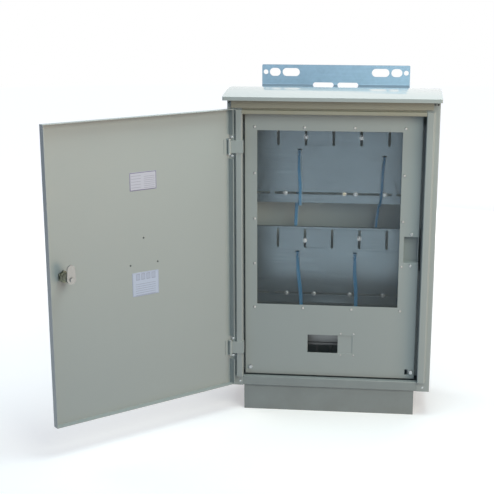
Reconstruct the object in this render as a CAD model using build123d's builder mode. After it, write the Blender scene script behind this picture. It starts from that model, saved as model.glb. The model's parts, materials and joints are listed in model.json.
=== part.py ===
"""Outdoor electricity meter cabinet in folded sheet steel, built sheet by sheet.

Millimetres, +Z up, the door side faces -Y. The origin is the centre of the four base fixing
holes, on the underside of the plinth. Two working frames are used below: the case frame starts
at the middle of the front plane on the underside of the case, and the door frame starts on the
hinge axis, with X along the door leaf and Y into the case when the door is shut.
"""
import os
from math import cos, radians, sin

from build123d import *

# Sheet
sheet = 1.5
bend = 2.5

# Case
case_width = 500.0
case_depth = 225.0
case_height = 719.0
back_flange = 15.0
frame_flange = 18.0

# Front frame: flat outer border, then a rain lip on the sides and the top, then a return
border_left = 20.0
border_right = 13.5
border_top = 31.0
sill_height = 24.0
lip_left = 16.0
lip_right = 17.5
lip_head = 10.0
lip_rise = 8.0
return_depth = 14.0
vent_hole_radius = 2.2
vent_hole_drop = 14.0
vent_hole_insets = (5.0, 13.0)

# Roof
roof_overhang_left = 7.0
roof_overhang_right = 3.0
roof_front_overhang = 34.0
roof_edge = 8.5
roof_camber = 10.0
roof_corner = 4.0
drip_drop = 26.5
drip_inset_left = 10.0
drip_inset_right = 16.0
drip_step = 4.5
drip_seam = 28.0

# Plinth
plinth_width = 424.0
plinth_height = 64.0
plinth_setback = 6.0
plinth_foot = 25.0
plinth_head = 20.0
base_hole_radius = 6.0
base_hole_inset = 32.0

# Cable opening in the floor
cable_inset_side = 90.0
cable_inset_front = 95.0
cable_inset_back = 45.0
cable_corner = 12.0
edging_wall = 3.0
edging_lip = 2.5

# Pole bracket on the back, measured from the top of the case
bracket_width = 372.0
bracket_offset = -6.5
bracket_sheet = 3.0
bracket_bend = 3.0
bracket_tail = 79.0
bracket_crank_low = 3.0
bracket_crank_high = 9.0
bracket_rise = 57.0
bracket_step = 9.0
bracket_corner = 3.0
pole_hole_rise = 38.5
pole_round_edge = 9.5
pole_round_radius = 6.0
pole_short_edge = 33.0
pole_short_length = 27.4
pole_long_edge = 73.5
pole_long_length = 43.6
pole_slot_radius = 10.0
band_slot_x = 31.0
band_slot_length = 52.0
band_slot_height = 12.0
band_slot_rise = 7.5
bracket_bolt_edge = 36.0
bracket_bolt_drop = 44.0
bracket_bolt_radius = 4.0
bracket_bolt_head = 8.0
bracket_bolt_thick = 5.0
bracket_nut_thick = 6.0
bolt_tail = 2.0
bolt_clearance = 0.4

# Door
door_inset = 2.0
door_depth = 18.0
door_gap = 1.5
door_lift = 7.5
door_head_gap = 28.5
door_corner = 3.0
open_angle = 136.0
door_mark_radius = 2.5
door_mark_depth = 0.8
door_mark_x = -2.5
door_mark_spread = 36.9
door_mark_low = 1.7
door_mark_high = 62.7

# Hinges
pivot_inset = 6.5
pivot_front = 12.0
hinge_from_bottom = 93.5
hinge_from_top = 89.5
arm_half = 15.0
arm_sheet = 2.5
arm_hook = 14.0
eye_radius = 4.0
pin_radius = 2.5
pin_clearance = 0.05
pin_head = 1.1
pin_head_thick = 1.5
base_half = 27.0
base_sheet = 2.0
base_overlap = 1.0
riser_inset = 12.0
ear_gap = 0.8
ear_sheet = 2.2
bracket_plate = 1.2
bracket_plate_reach = 12.0
hinge_slot_gap = 2.0
hinge_screw_offset = 22.0
hinge_screw_radius = 3.4
hinge_screw_head = 2.2
hinge_screw_edge = 5.5

# Lock
lock_edge = 41.0
lock_above_middle = 3.5
barrel_radius = 9.5
barrel_clearance = 0.3
barrel_reach = 34.2
rosette_radius = 13.0
rosette_thick = 2.5
key_bore_radius = 5.5
key_bore_depth = 10.0
nut_radius = 14.5
nut_thick = 7.0
collar_radius = 11.2
collar_thick = 7.0
cam_sheet = 3.0
cam_boss = 11.0
cam_tip = 9.5
cam_reach = 32.5
cam_clearance = 0.3
cam_screw_radius = 5.5
cam_screw_head = 3.2

# Labels on the inside of the door, from the middle of the leaf
label_sheet = 0.4
label_width = 71.5
label_x = -5.0
label_upper_height = 42.0
label_upper_z = 194.5
label_lower_height = 56.5
label_lower_z = -45.75

# Front cover behind the door
cover_front = 22.0
cover_gap_left = 2.5
cover_gap_right = 6.5
cover_lap_top = 4.0
cover_return = 12.0
cover_edge_round = 2.0
window_inset_left = 30.5
window_inset_right = 47.5
window_inset_top = 45.0
window_inset_bottom = 183.5
pane_sheet = 3.0
pane_margin = 13.5
rivet_margin_side = 6.5
rivet_margin_end = 8.5
rivet_columns = 4
rivet_rows = 5
rivet_radius = 3.6
rivet_head = 1.8
module_x = 1.0
module_width = 111.0
module_lift = 61.0
module_opening = 46.0
blank_width = 36.0
blank_sheet = 1.0
blank_margin = 9.0
blank_rivet_margin = 5.0
blank_rivet_radius = 2.4
blank_rivet_head = 1.0
notch_reach = 31.0
notch_below = 31.5
notch_above = 33.0
pocket_depth = 23.0
pocket_tab = 16.0
pocket_tab_half = 11.5
pocket_screw_gap = 7.0
pocket_screw_radius = 4.0
pocket_screw_head = 2.4
seal_screw_lift = 18.0
seal_screw_inset_left = 14.5
seal_screw_inset_right = 9.0
seal_screw_radius = 5.2
seal_screw_head = 5.0
seal_slot_width = 8.0
seal_slot_height = 14.0
seal_slot_gap = 7.5
frame_screw_radius = 2.8
frame_screw_head = 1.2
frame_screw_lift = 10.9
frame_screw_inset_left = 9.0
frame_screw_inset_right = 3.5
rail_land = 20.0
rail_leg = 18.0
rail_end_gap = 30.0

# Meter plates
plate_centre = -5.0
plate_width = 400.0
plate_height = 200.0
plate_standoff = 60.0
plate_sheet = 2.0
plate_return = 12.0
plate_bottom_lower = 174.5
plate_pitch = 262.5
slot_pitch = 69.5
slot_width = 6.0
slot_length = 48.5
slot_drop = 6.0
long_slot_z = 24.5
long_slot_width = 5.5
long_slot_half = 148.0
end_slot_gap = 12.0
end_slot_length = 34.0
plate_web_inset = 32.0
plate_web_flange = 28.0
plate_foot_flange = 22.0
plate_web_height = 60.0
meter_bolt_radius = 2.2
meter_bolt_head = 4.0
meter_bolt_head_thick = 3.5
meter_bolt_washer = 6.0
meter_bolt_washer_thick = 1.5
meter_nut_half = 5.0
meter_nut_thick = 4.0
meter_bolt_tail = 3.0

# Tie straps
strap_width = 8.0
strap_sheet = 1.2
strap_clearance = 0.3
strap_slot_height = 4.0
strap_slot_side = 1.5
strap_front_gap = 3.0
strap_rear_gap = 3.5

# Rail for switchgear
rail_length = 110.0
rail_setback = 46.0
rail_height = 35.0
rail_hat = 7.5
rail_flange = 5.0
rail_sheet = 1.0
post_half = 2.5
post_thick = 4.0
post_spread = 17.0
post_foot = 22.0
post_foot_thick = 3.0
post_top_gap = 8.0

# Derived lengths
front_y = -case_depth / 2
half = case_width / 2
lip_front = -lip_rise
left_border = -half + border_left
right_border = half - border_right
opening_left = left_border + lip_left
opening_right = right_border - lip_right
lip_top = case_height - border_top
opening_bottom = sill_height
opening_top = lip_top - lip_head
roof_top = case_height + sheet
roof_low = roof_top - roof_edge
plinth_y0 = plinth_setback
plinth_y1 = case_depth - plinth_setback
plinth_half = plinth_width / 2
base_hole_x = plinth_half - base_hole_inset
cable_x = half - cable_inset_side
cable_y0 = cable_inset_front
cable_y1 = case_depth - cable_inset_back
bracket_half = bracket_width / 2
door_rim = -door_gap
door_outer = door_rim - door_depth
leaf_inner = door_outer + sheet
door_left = -half + door_inset
door_right = half - door_inset
door_bottom = door_lift
door_top = case_height - door_head_gap
door_middle = (door_bottom + door_top) / 2
pivot_x = -half + pivot_inset
pivot_y = -pivot_front
hinge_heights = (door_bottom + hinge_from_bottom, door_top - hinge_from_top)
lock_x = door_right - lock_edge
lock_z = door_middle + lock_above_middle
barrel_end = leaf_inner + barrel_reach
cover_back = cover_front + sheet
cover_left = opening_left + cover_gap_left
cover_right = opening_right - cover_gap_right
cover_bottom = opening_bottom
cover_top = opening_top + cover_lap_top
window_left = cover_left + window_inset_left
window_right = cover_right - window_inset_right
window_bottom = cover_bottom + window_inset_bottom
window_top = cover_top - window_inset_top
module_left = module_x - module_width / 2
module_right = module_x + module_width / 2
module_bottom = cover_bottom + module_lift
module_top = module_bottom + module_opening
blank_left = module_right - blank_width
notch_left = lock_x - notch_reach
notch_bottom = lock_z - notch_below
notch_top = lock_z + notch_above
seal_screw_z = cover_bottom + seal_screw_lift
seal_screw_right = cover_right - seal_screw_inset_right
plate_front = case_depth - plate_standoff
plate_back = plate_front + plate_sheet
plate_bottoms = {"upper": plate_bottom_lower + plate_pitch, "lower": plate_bottom_lower}
wall_face = case_depth - sheet
rail_front = cover_front + rail_setback
rail_back = rail_front + rail_hat
rail_x = (module_left + blank_left) / 2
rail_z = (module_bottom + module_top) / 2
cover_rim = cover_front + cover_return

# Working frames
case_frame = Plane(origin=(0, front_y, plinth_height), x_dir=(1, 0, 0), z_dir=(0, 0, 1))
swing = radians(open_angle)
door_frame = Plane(
    origin=(pivot_x, front_y + pivot_y, plinth_height),
    x_dir=(cos(swing), -sin(swing), 0),
    z_dir=(0, 0, 1),
)

os.makedirs("parts", exist_ok=True)


def facing(frame, x, y, z):
    """Plane across the depth at a point of a frame; its normal runs into the case."""
    origin = frame.from_local_coords((x, y, z))
    return Plane(origin=origin, x_dir=frame.x_dir, z_dir=frame.y_dir)


def face_plane(depth):
    """Plane parallel to the front, at a depth behind the front plane; X right, Y up."""
    origin = (0, front_y + depth, plinth_height)
    return Plane(origin=origin, x_dir=(1, 0, 0), z_dir=(0, -1, 0))


def side_plane(x):
    """Plane across the case at a given X; sketch X runs to the back, sketch Y runs up."""
    return Plane(origin=(x, front_y, plinth_height), x_dir=(0, 1, 0), z_dir=(1, 0, 0))


def block(x0, x1, y0, y1, z0, z1, mode=Mode.ADD):
    """Box between two corners in the frame of the open part."""
    with Locations(((x0 + x1) / 2, (y0 + y1) / 2, (z0 + z1) / 2)):
        Box(x1 - x0, y1 - y0, z1 - z0, mode=mode)


def rod_y(x, z, radius, y0, y1, mode=Mode.ADD):
    """Round bar along Y."""
    with Locations(Location((x, (y0 + y1) / 2, z), (90, 0, 0))):
        Cylinder(radius, y1 - y0, mode=mode)


def stud(frame, x, z, radius, y0, y1, sides=8, mode=Mode.ADD):
    """Small head, shank or hole along the depth, with flat sides."""
    with BuildSketch(facing(frame, x, y0, z)) as section:
        RegularPolygon(radius, sides)
    extrude(section.sketch, amount=y1 - y0, mode=mode)


def folded(points, side, thickness=sheet, radius=bend):
    """Section of a folded sheet: skin line, thickened to one side; no radius gives sharp folds."""
    with BuildSketch() as section:
        with BuildLine():
            if radius:
                FilletPolyline(*points, radius=radius)
                offset(amount=thickness, side=side)
            else:
                Polyline(*points)
                offset(amount=thickness, side=side, kind=Kind.INTERSECTION)
        make_face()
    return section.sketch


def finish(name, piece):
    """Label a finished piece and write it out."""
    piece.label = name
    export_step(piece, "parts/" + name + ".step")


# Side walls, each with the front border, rain lip and return folded in one sheet
def side_wall(sign, border, inner):
    """One side wall; its lip stands on the sill's height and stops under the header."""
    outer = sign * half
    reach = lip_rise + return_depth + bend
    skin = [
        (outer, case_depth),
        (outer, 0),
        (border, 0),
        (border, lip_front),
        (inner, lip_front),
        (inner, return_depth),
    ]
    x0, x1 = sorted((border, inner))
    cut0, cut1 = sorted((border + sign * bend, inner - sign * bend))
    fill0, fill1 = sorted((border + sign * bend, inner))
    with BuildPart(case_frame) as wall:
        with BuildSketch(case_frame):
            add(folded(skin, Side.LEFT if sign < 0 else Side.RIGHT))
        extrude(amount=case_height)
        block(cut0, cut1, -reach, reach, -sheet, opening_bottom, Mode.SUBTRACT)
        block(cut0, cut1, -reach, reach, lip_top, case_height + sheet, Mode.SUBTRACT)
        block(fill0, fill1, 0, sheet, 0, opening_bottom)
        block(fill0, fill1, 0, sheet, lip_top, case_height)
        block(x0, x1, lip_front, sheet, opening_bottom, opening_bottom + sheet)
        block(x0, x1, lip_front, sheet, lip_top - sheet, lip_top)
        for inset in vent_hole_insets:
            hole_x = outer - sign * inset
            hole_z = case_height - vent_hole_drop
            stud(case_frame, hole_x, hole_z, vent_hole_radius, -1, sheet + 1, 8, Mode.SUBTRACT)
    return wall.part


finish("side_wall_left", side_wall(-1, left_border, opening_left))
finish("side_wall_right", side_wall(1, right_border, opening_right))

# Back wall between the side walls, with the holes for the pole bracket
bracket_bolt_reach = bracket_half - bracket_bolt_edge
bracket_bolt_xs = [bracket_offset + step * bracket_bolt_reach for step in (-1, 0, 1)]
bracket_bolt_z = case_height - bracket_bolt_drop
bracket_bolt_hole = bracket_bolt_radius + bolt_clearance
with BuildPart(case_frame) as back_wall:
    back_skin = [
        (-half + sheet, case_depth - back_flange),
        (-half + sheet, case_depth),
        (half - sheet, case_depth),
        (half - sheet, case_depth - back_flange),
    ]
    with BuildSketch(case_frame.offset(sheet)):
        add(folded(back_skin, Side.RIGHT, radius=None))
    extrude(amount=case_height - sheet)
    for bolt_x in bracket_bolt_xs:
        hole_start = wall_face - 1
        hole_end = case_depth + 1
        stud(
            case_frame,
            bolt_x,
            bracket_bolt_z,
            bracket_bolt_hole,
            hole_start,
            hole_end,
            8,
            Mode.SUBTRACT,
        )
finish("back_wall", back_wall.part)

# Top and bottom members of the front frame
header_skin = [
    (frame_flange, case_height),
    (0, case_height),
    (0, lip_top),
    (lip_front, lip_top),
    (lip_front, opening_top),
    (return_depth, opening_top),
]
with BuildPart(case_frame) as front_header:
    with BuildSketch(side_plane(opening_left)):
        add(folded(header_skin, Side.LEFT))
    extrude(amount=opening_right - opening_left)
finish("front_header", front_header.part)

sill_skin = [
    (frame_flange, 0),
    (0, 0),
    (0, opening_bottom),
    (return_depth, opening_bottom),
]
with BuildPart(case_frame) as front_sill:
    with BuildSketch(side_plane(opening_left)):
        add(folded(sill_skin, Side.RIGHT))
    extrude(amount=opening_right - opening_left)
finish("front_sill", front_sill.part)

# Floor with the cable opening
cable_middle = (cable_y0 + cable_y1) / 2
cable_depth = cable_y1 - cable_y0
with BuildPart(case_frame) as floor_panel:
    with BuildSketch(case_frame):
        with Locations((0, (frame_flange + case_depth) / 2)):
            Rectangle(case_width - 2 * sheet, case_depth - frame_flange)
        with Locations((0, cable_middle)):
            RectangleRounded(2 * cable_x, cable_depth, cable_corner, mode=Mode.SUBTRACT)
    extrude(amount=sheet)
finish("floor_panel", floor_panel.part)

# Rubber edging round the cable opening
with BuildPart(case_frame) as cable_edging:
    with BuildSketch(case_frame.offset(-edging_lip)):
        with Locations((0, cable_middle)):
            RectangleRounded(2 * cable_x, cable_depth, cable_corner)
            RectangleRounded(
                2 * cable_x - 2 * edging_wall,
                cable_depth - 2 * edging_wall,
                cable_corner - edging_wall,
                mode=Mode.SUBTRACT,
            )
    extrude(amount=sheet + 2 * edging_lip)
finish("cable_edging", cable_edging.part)



# Roof: a shallow bowed tray turned down over the case, open towards the bracket
def bowed_section(inset, low):
    """Side view of the roof, or of the hollow under its sheet when there is an inset."""
    front = inset - roof_front_overhang
    crest = ((case_depth - roof_front_overhang) / 2, roof_top + roof_camber - inset)
    with BuildSketch() as section:
        with BuildLine():
            ThreePointArc((front, roof_top - inset), crest, (case_depth, roof_top - inset))
            Polyline(
                (case_depth, roof_top - inset),
                (case_depth, low),
                (front, low),
                (front, roof_top - inset),
            )
        make_face()
    return section.sketch


roof_left = -half - roof_overhang_left
roof_right = half + roof_overhang_right
with BuildPart(case_frame) as roof:
    with BuildSketch(side_plane(roof_left)):
        add(bowed_section(0, roof_low))
    extrude(amount=roof_right - roof_left)
    upright = roof.edges().filter_by(Axis.Z).sort_by(Axis.Y)[:2]
    fillet(upright, roof_corner)
    with BuildSketch(side_plane(roof_left + sheet)):
        add(bowed_section(sheet, roof_low - 1))
    extrude(amount=roof_right - roof_left - 2 * sheet, mode=Mode.SUBTRACT)
finish("roof", roof.part)

# Drip strip under the front of the roof
drip_skin = [
    (-drip_step, case_height - drip_drop),
    (-drip_step, case_height),
    (-drip_seam, case_height),
]
drip_left = -half + drip_inset_left
drip_right = half - drip_inset_right
with BuildPart(case_frame) as drip_strip:
    with BuildSketch(side_plane(drip_left)):
        add(folded(drip_skin, Side.LEFT, radius=None))
    extrude(amount=drip_right - drip_left)
finish("drip_strip", drip_strip.part)


# Plinth: front and back panels across the width, side panels between them
def plinth_panel(face, sign):
    """Front or back panel with a foot flange, a head flange and two fixing holes."""
    panel_skin = [
        (face - sign * plinth_foot, -plinth_height),
        (face, -plinth_height),
        (face, 0),
        (face - sign * plinth_head, 0),
    ]
    with BuildPart(case_frame) as panel:
        with BuildSketch(side_plane(-plinth_half)):
            add(folded(panel_skin, Side.RIGHT if sign < 0 else Side.LEFT, radius=None))
        extrude(amount=plinth_width)
        for hole_x in (-base_hole_x, base_hole_x):
            with Locations((hole_x, face - sign * plinth_foot / 2, -plinth_height)):
                Cylinder(base_hole_radius, 4 * sheet, mode=Mode.SUBTRACT)
    return panel.part


def plinth_side(edge, sign):
    """Side panel with a foot and a head flange; its web reaches the front and back panels."""
    near = plinth_y0 + plinth_foot
    far = plinth_y1 - plinth_foot
    side_skin = [
        (edge - sign * plinth_head, -plinth_height),
        (edge, -plinth_height),
        (edge, 0),
        (edge - sign * plinth_head, 0),
    ]
    with BuildPart(case_frame) as panel:
        with BuildSketch(face_plane(far)):
            add(folded(side_skin, Side.RIGHT if sign < 0 else Side.LEFT, radius=None))
        extrude(amount=far - near)
        x0, x1 = sorted((edge, edge - sign * sheet))
        block(x0, x1, plinth_y0 + sheet, near, sheet - plinth_height, -sheet)
        block(x0, x1, far, plinth_y1 - sheet, sheet - plinth_height, -sheet)
    return panel.part


finish("plinth_front", plinth_panel(plinth_y0, -1))
finish("plinth_back", plinth_panel(plinth_y1, 1))
finish("plinth_side_left", plinth_side(-plinth_half, -1))
finish("plinth_side_right", plinth_side(plinth_half, 1))

# Pole bracket: cranked galvanised strip with holes for bolts and bands
bracket_skin = [
    (case_depth, case_height - bracket_tail),
    (case_depth, case_height - bracket_crank_low),
    (case_depth + bracket_step, case_height + bracket_crank_high),
    (case_depth + bracket_step, case_height + bracket_rise),
]
pole_hole_z = case_height + pole_hole_rise
band_slot_z = case_height + band_slot_rise
with BuildPart(case_frame) as pole_bracket:
    with BuildSketch(side_plane(bracket_offset - bracket_half)):
        add(folded(bracket_skin, Side.RIGHT, bracket_sheet, bracket_bend))
    extrude(amount=bracket_width)
    corner_edges = pole_bracket.edges().filter_by(Axis.Y).group_by(Axis.Z)[-1]
    fillet(corner_edges, bracket_corner)
    with BuildSketch(face_plane(case_depth - 1)):
        for sign in (-1, 1):
            round_x = bracket_offset + sign * (bracket_half - pole_round_edge)
            with Locations((round_x, pole_hole_z)):
                Circle(pole_round_radius)
            short_x = bracket_offset + sign * (bracket_half - pole_short_edge)
            with Locations((short_x, pole_hole_z)):
                SlotOverall(pole_short_length, 2 * pole_slot_radius)
            long_x = bracket_offset + sign * (bracket_half - pole_long_edge)
            with Locations((long_x, pole_hole_z)):
                SlotOverall(pole_long_length, 2 * pole_slot_radius)
            with Locations((bracket_offset + sign * band_slot_x, band_slot_z)):
                SlotOverall(band_slot_length, band_slot_height)
        for bolt_x in bracket_bolt_xs:
            with Locations((bolt_x, bracket_bolt_z)):
                RegularPolygon(bracket_bolt_hole, 8)
    extrude(amount=-(bracket_step + 2 * bracket_sheet), mode=Mode.SUBTRACT)
finish("pole_bracket", pole_bracket.part)

with BuildPart(case_frame) as bracket_bolts:
    head_face = case_depth + bracket_sheet
    shank_end = wall_face - bracket_nut_thick - bolt_tail
    for bolt_x in bracket_bolt_xs:
        head = (bracket_bolt_head, head_face, head_face + bracket_bolt_thick)
        stud(case_frame, bolt_x, bracket_bolt_z, *head, 6)
        nut = (bracket_bolt_head, wall_face - bracket_nut_thick, wall_face)
        stud(case_frame, bolt_x, bracket_bolt_z, *nut, 6)
        stud(case_frame, bolt_x, bracket_bolt_z, bracket_bolt_radius, shank_end, head_face)
finish("bracket_bolts", bracket_bolts.part)

# Front cover: a tray with window, module cut-out, lock notch and a slot beside one seal screw
window_x = (window_left + window_right) / 2
window_z = (window_bottom + window_top) / 2
notch_width = cover_right + sheet - notch_left
notch_z = (notch_bottom + notch_top) / 2
seal_slot_x = seal_screw_right - seal_slot_gap - seal_slot_width / 2
with BuildPart(case_frame) as front_cover:
    block(cover_left, cover_right, cover_front, cover_rim, cover_bottom, cover_top)
    fillet(front_cover.faces().sort_by(Axis.Y)[0].edges(), cover_edge_round)
    block(
        cover_left + sheet,
        cover_right - sheet,
        cover_back,
        cover_rim + 1,
        cover_bottom + sheet,
        cover_top - sheet,
        Mode.SUBTRACT,
    )
    with BuildSketch(face_plane(cover_front - 1)):
        with Locations((window_x, window_z)):
            Rectangle(window_right - window_left, window_top - window_bottom)
        with Locations((module_x, rail_z)):
            Rectangle(module_width, module_opening)
        with Locations((notch_left + notch_width / 2, notch_z)):
            Rectangle(notch_width, notch_top - notch_bottom)
        with Locations((seal_slot_x, seal_screw_z)):
            Rectangle(seal_slot_width, seal_slot_height)
    extrude(amount=-(cover_return + 2), mode=Mode.SUBTRACT)
finish("front_cover", front_cover.part)

# Clear pane riveted behind the window, cut back round the lock pocket
with BuildPart(case_frame) as window_pane:
    pane_right = window_right + pane_margin
    pane_face = cover_back + pane_sheet
    pane_low = window_bottom - pane_margin
    block(
        window_left - pane_margin,
        pane_right,
        cover_back,
        pane_face,
        pane_low,
        window_top + pane_margin,
    )
    block(
        notch_left - 2 * sheet,
        pane_right + 1,
        cover_back - 1,
        pane_face + 1,
        notch_bottom - pocket_tab - 2 * sheet,
        notch_top + pocket_tab + 2 * sheet,
        Mode.SUBTRACT,
    )
finish("window_pane", window_pane.part)

with BuildPart(case_frame) as window_rivets:
    first_x = window_left - rivet_margin_side
    first_z = window_bottom - rivet_margin_end
    step_x = (window_right + rivet_margin_side - first_x) / (rivet_columns - 1)
    step_z = (window_top + rivet_margin_end - first_z) / (rivet_rows - 1)
    for row in range(rivet_rows):
        for column in range(rivet_columns):
            if row in (0, rivet_rows - 1) or column in (0, rivet_columns - 1):
                rivet_x = first_x + column * step_x
                rivet_z = first_z + row * step_z
                face = cover_front - rivet_head
                stud(case_frame, rivet_x, rivet_z, rivet_radius, face, cover_front)
finish("window_rivets", window_rivets.part)

# Pocket that closes the lock notch from behind, held by two tabs
pocket_floor = cover_front + pocket_depth
pocket_right = cover_right - sheet
tab_x = (notch_left + pocket_right) / 2
with BuildPart(case_frame) as lock_pocket:
    block(
        notch_left - sheet,
        pocket_right,
        cover_back,
        pocket_floor,
        notch_bottom - sheet,
        notch_top + sheet,
    )
    block(
        notch_left,
        pocket_right - sheet,
        cover_back - 1,
        pocket_floor - sheet,
        notch_bottom,
        notch_top,
        Mode.SUBTRACT,
    )
    tab_left = tab_x - pocket_tab_half
    tab_right = tab_x + pocket_tab_half
    for low in (notch_bottom - sheet - pocket_tab, notch_top + sheet):
        block(tab_left, tab_right, cover_back, cover_back + sheet, low, low + pocket_tab)
finish("lock_pocket", lock_pocket.part)

with BuildPart(case_frame) as pocket_screws:
    for screw_z in (notch_bottom - pocket_screw_gap, notch_top + pocket_screw_gap):
        face = cover_front - pocket_screw_head
        stud(case_frame, tab_x, screw_z, pocket_screw_radius, face, cover_front)
finish("pocket_screws", pocket_screws.part)

# Blanking plate behind the right part of the module cut-out
with BuildPart(case_frame) as blank_plate:
    block(
        blank_left,
        module_right + blank_margin,
        cover_back,
        cover_back + blank_sheet,
        module_bottom - blank_margin,
        module_top + blank_margin,
    )
finish("blank_plate", blank_plate.part)

with BuildPart(case_frame) as blank_plate_rivets:
    for rivet_x in (blank_left + blank_rivet_margin + 2, module_right + blank_rivet_margin - 2):
        for rivet_z in (module_bottom - blank_rivet_margin, module_top + blank_rivet_margin):
            face = cover_front - blank_rivet_head
            stud(case_frame, rivet_x, rivet_z, blank_rivet_radius, face, cover_front)
finish("blank_plate_rivets", blank_plate_rivets.part)

# Screws that hold and seal the cover
with BuildPart(case_frame) as seal_screws:
    for screw_x in (cover_left + seal_screw_inset_left, seal_screw_right):
        face = cover_front - seal_screw_head
        stud(case_frame, screw_x, seal_screw_z, seal_screw_radius, face, cover_front, 12)
finish("seal_screws", seal_screws.part)

# Screws in the lower corners of the front border, flat enough for the door's rim to pass
with BuildPart(case_frame) as frame_screws:
    for screw_x in (left_border + frame_screw_inset_left, right_border - frame_screw_inset_right):
        stud(case_frame, screw_x, frame_screw_lift, frame_screw_radius, -frame_screw_head, 0)
finish("frame_screws", frame_screws.part)


# Angle rails on the side walls that the cover's rim rests against
def cover_rail(sign, land):
    """Angle rail on one side wall, under the rim of the cover."""
    wall_x = sign * (half - sheet)
    rail_skin = [
        (land - sign * rail_land, cover_rim),
        (wall_x, cover_rim),
        (wall_x, cover_rim + rail_leg),
    ]
    with BuildPart(case_frame) as rail:
        with BuildSketch(case_frame.offset(rail_end_gap)):
            add(folded(rail_skin, Side.RIGHT if sign < 0 else Side.LEFT, radius=None))
        extrude(amount=cover_top - 2 * rail_end_gap)
        if sign > 0:
            block(
                land - rail_land - 1,
                land + cover_gap_right - 2,
                cover_rim - 1,
                cover_rim + sheet + 1,
                notch_bottom - pocket_tab - 4 * sheet,
                notch_top + pocket_tab + 4 * sheet,
                Mode.SUBTRACT,
            )
    return rail.part


finish("cover_rail_left", cover_rail(-1, cover_left))
finish("cover_rail_right", cover_rail(1, cover_right))

# Tie straps, from the plate's centre and bottom: top slot, end of the front and rear tails
strap_places = {
    "upper": {
        "left": ((-85.0, 134.0), (-82.0, -7.0), (-94.0, -92.0)),
        "right": ((127.5, 120.0), (118.5, -12.0), (109.0, -92.0)),
    },
    "lower": {
        "left": ((-88.5, 134.0), (-76.5, -19.5), (-91.0, 40.5)),
        "right": ((59.0, 132.5), (64.5, -19.5), (56.0, 40.5)),
    },
}


# Meter plates with hanging slots, long clamping slots and strap slots
def meter_plate(bottom, places):
    """One plate with folded top and bottom edges and all its slots."""
    top = bottom + plate_height
    plate_left = plate_centre - plate_width / 2
    plate_skin = [
        (plate_front + plate_return, bottom),
        (plate_front, bottom),
        (plate_front, top),
        (plate_front + plate_return, top),
    ]
    with BuildPart(case_frame) as plate:
        with BuildSketch(side_plane(plate_left)):
            add(folded(plate_skin, Side.RIGHT, plate_sheet, None))
        extrude(amount=plate_width)
        with BuildSketch(face_plane(plate_front - 1)):
            for step in (-2, -1, 0, 1, 2):
                slot_z = top - slot_drop - slot_length / 2
                with Locations((plate_centre + step * slot_pitch, slot_z)):
                    SlotOverall(slot_length, slot_width, rotation=90)
            with Locations((plate_centre, bottom + long_slot_z)):
                Rectangle(2 * long_slot_half, long_slot_width)
            end_x = long_slot_half + end_slot_gap + end_slot_length / 2
            for sign in (-1, 1):
                with Locations((plate_centre + sign * end_x, bottom + long_slot_z)):
                    SlotOverall(end_slot_length, long_slot_width)
            for strap_slot, front_end, rear_end in places.values():
                low_edge = bottom + strap_slot[1] - strap_sheet / 2 - strap_clearance
                strap_z = low_edge + strap_slot_height / 2
                with Locations((plate_centre + strap_slot[0], strap_z)):
                    Rectangle(strap_width + 2 * strap_slot_side, strap_slot_height)
        extrude(amount=-(plate_sheet + 2), mode=Mode.SUBTRACT)
    return plate.part


# Z-shaped brackets between a meter plate and the back wall
def plate_bracket(bottom, sign):
    """One bracket, spot-welded to the plate and to the back wall."""
    web_x = plate_centre + sign * (plate_width / 2 - plate_web_inset)
    wall_skin = wall_face - plate_sheet
    web_skin = [
        (web_x - sign * plate_web_flange, plate_back),
        (web_x, plate_back),
        (web_x, wall_skin),
        (web_x + sign * plate_foot_flange, wall_skin),
    ]
    with BuildPart(case_frame) as bracket:
        with BuildSketch(case_frame.offset(bottom + (plate_height - plate_web_height) / 2)):
            side = Side.RIGHT if sign < 0 else Side.LEFT
            add(folded(web_skin, side, plate_sheet, None))
        extrude(amount=plate_web_height)
    return bracket.part


# Clamping bolts, from the plate's centre and bottom
hang_low = plate_height - slot_drop - slot_length
bolt_places = {
    "upper": (
        (-slot_pitch, hang_low + 21.5),
        (slot_pitch, hang_low + 21.0),
        (-120.0, long_slot_z),
        (29.0, long_slot_z),
        (57.5, long_slot_z),
        (131.0, long_slot_z),
    ),
    "lower": (
        (-slot_pitch, hang_low + 19.0),
        (slot_pitch, hang_low + 27.0),
        (-115.5, long_slot_z),
        (-44.5, long_slot_z),
        (48.0, long_slot_z),
        (133.0, long_slot_z),
    ),
}


def meter_bolt(x, z):
    """Hexagon head and washer in front of the plate, shank in its slot, square nut behind."""
    washer_face = plate_front - meter_bolt_washer_thick
    head_face = washer_face - meter_bolt_head_thick
    nut_face = plate_back + meter_nut_thick
    stud(case_frame, x, z, meter_bolt_head, head_face, washer_face, 6)
    stud(case_frame, x, z, meter_bolt_washer, washer_face, plate_front)
    stud(case_frame, x, z, meter_bolt_radius, plate_front, nut_face + meter_bolt_tail, 6)
    block(
        x - meter_nut_half,
        x + meter_nut_half,
        plate_back,
        nut_face,
        z - meter_nut_half,
        z + meter_nut_half,
    )


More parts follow.
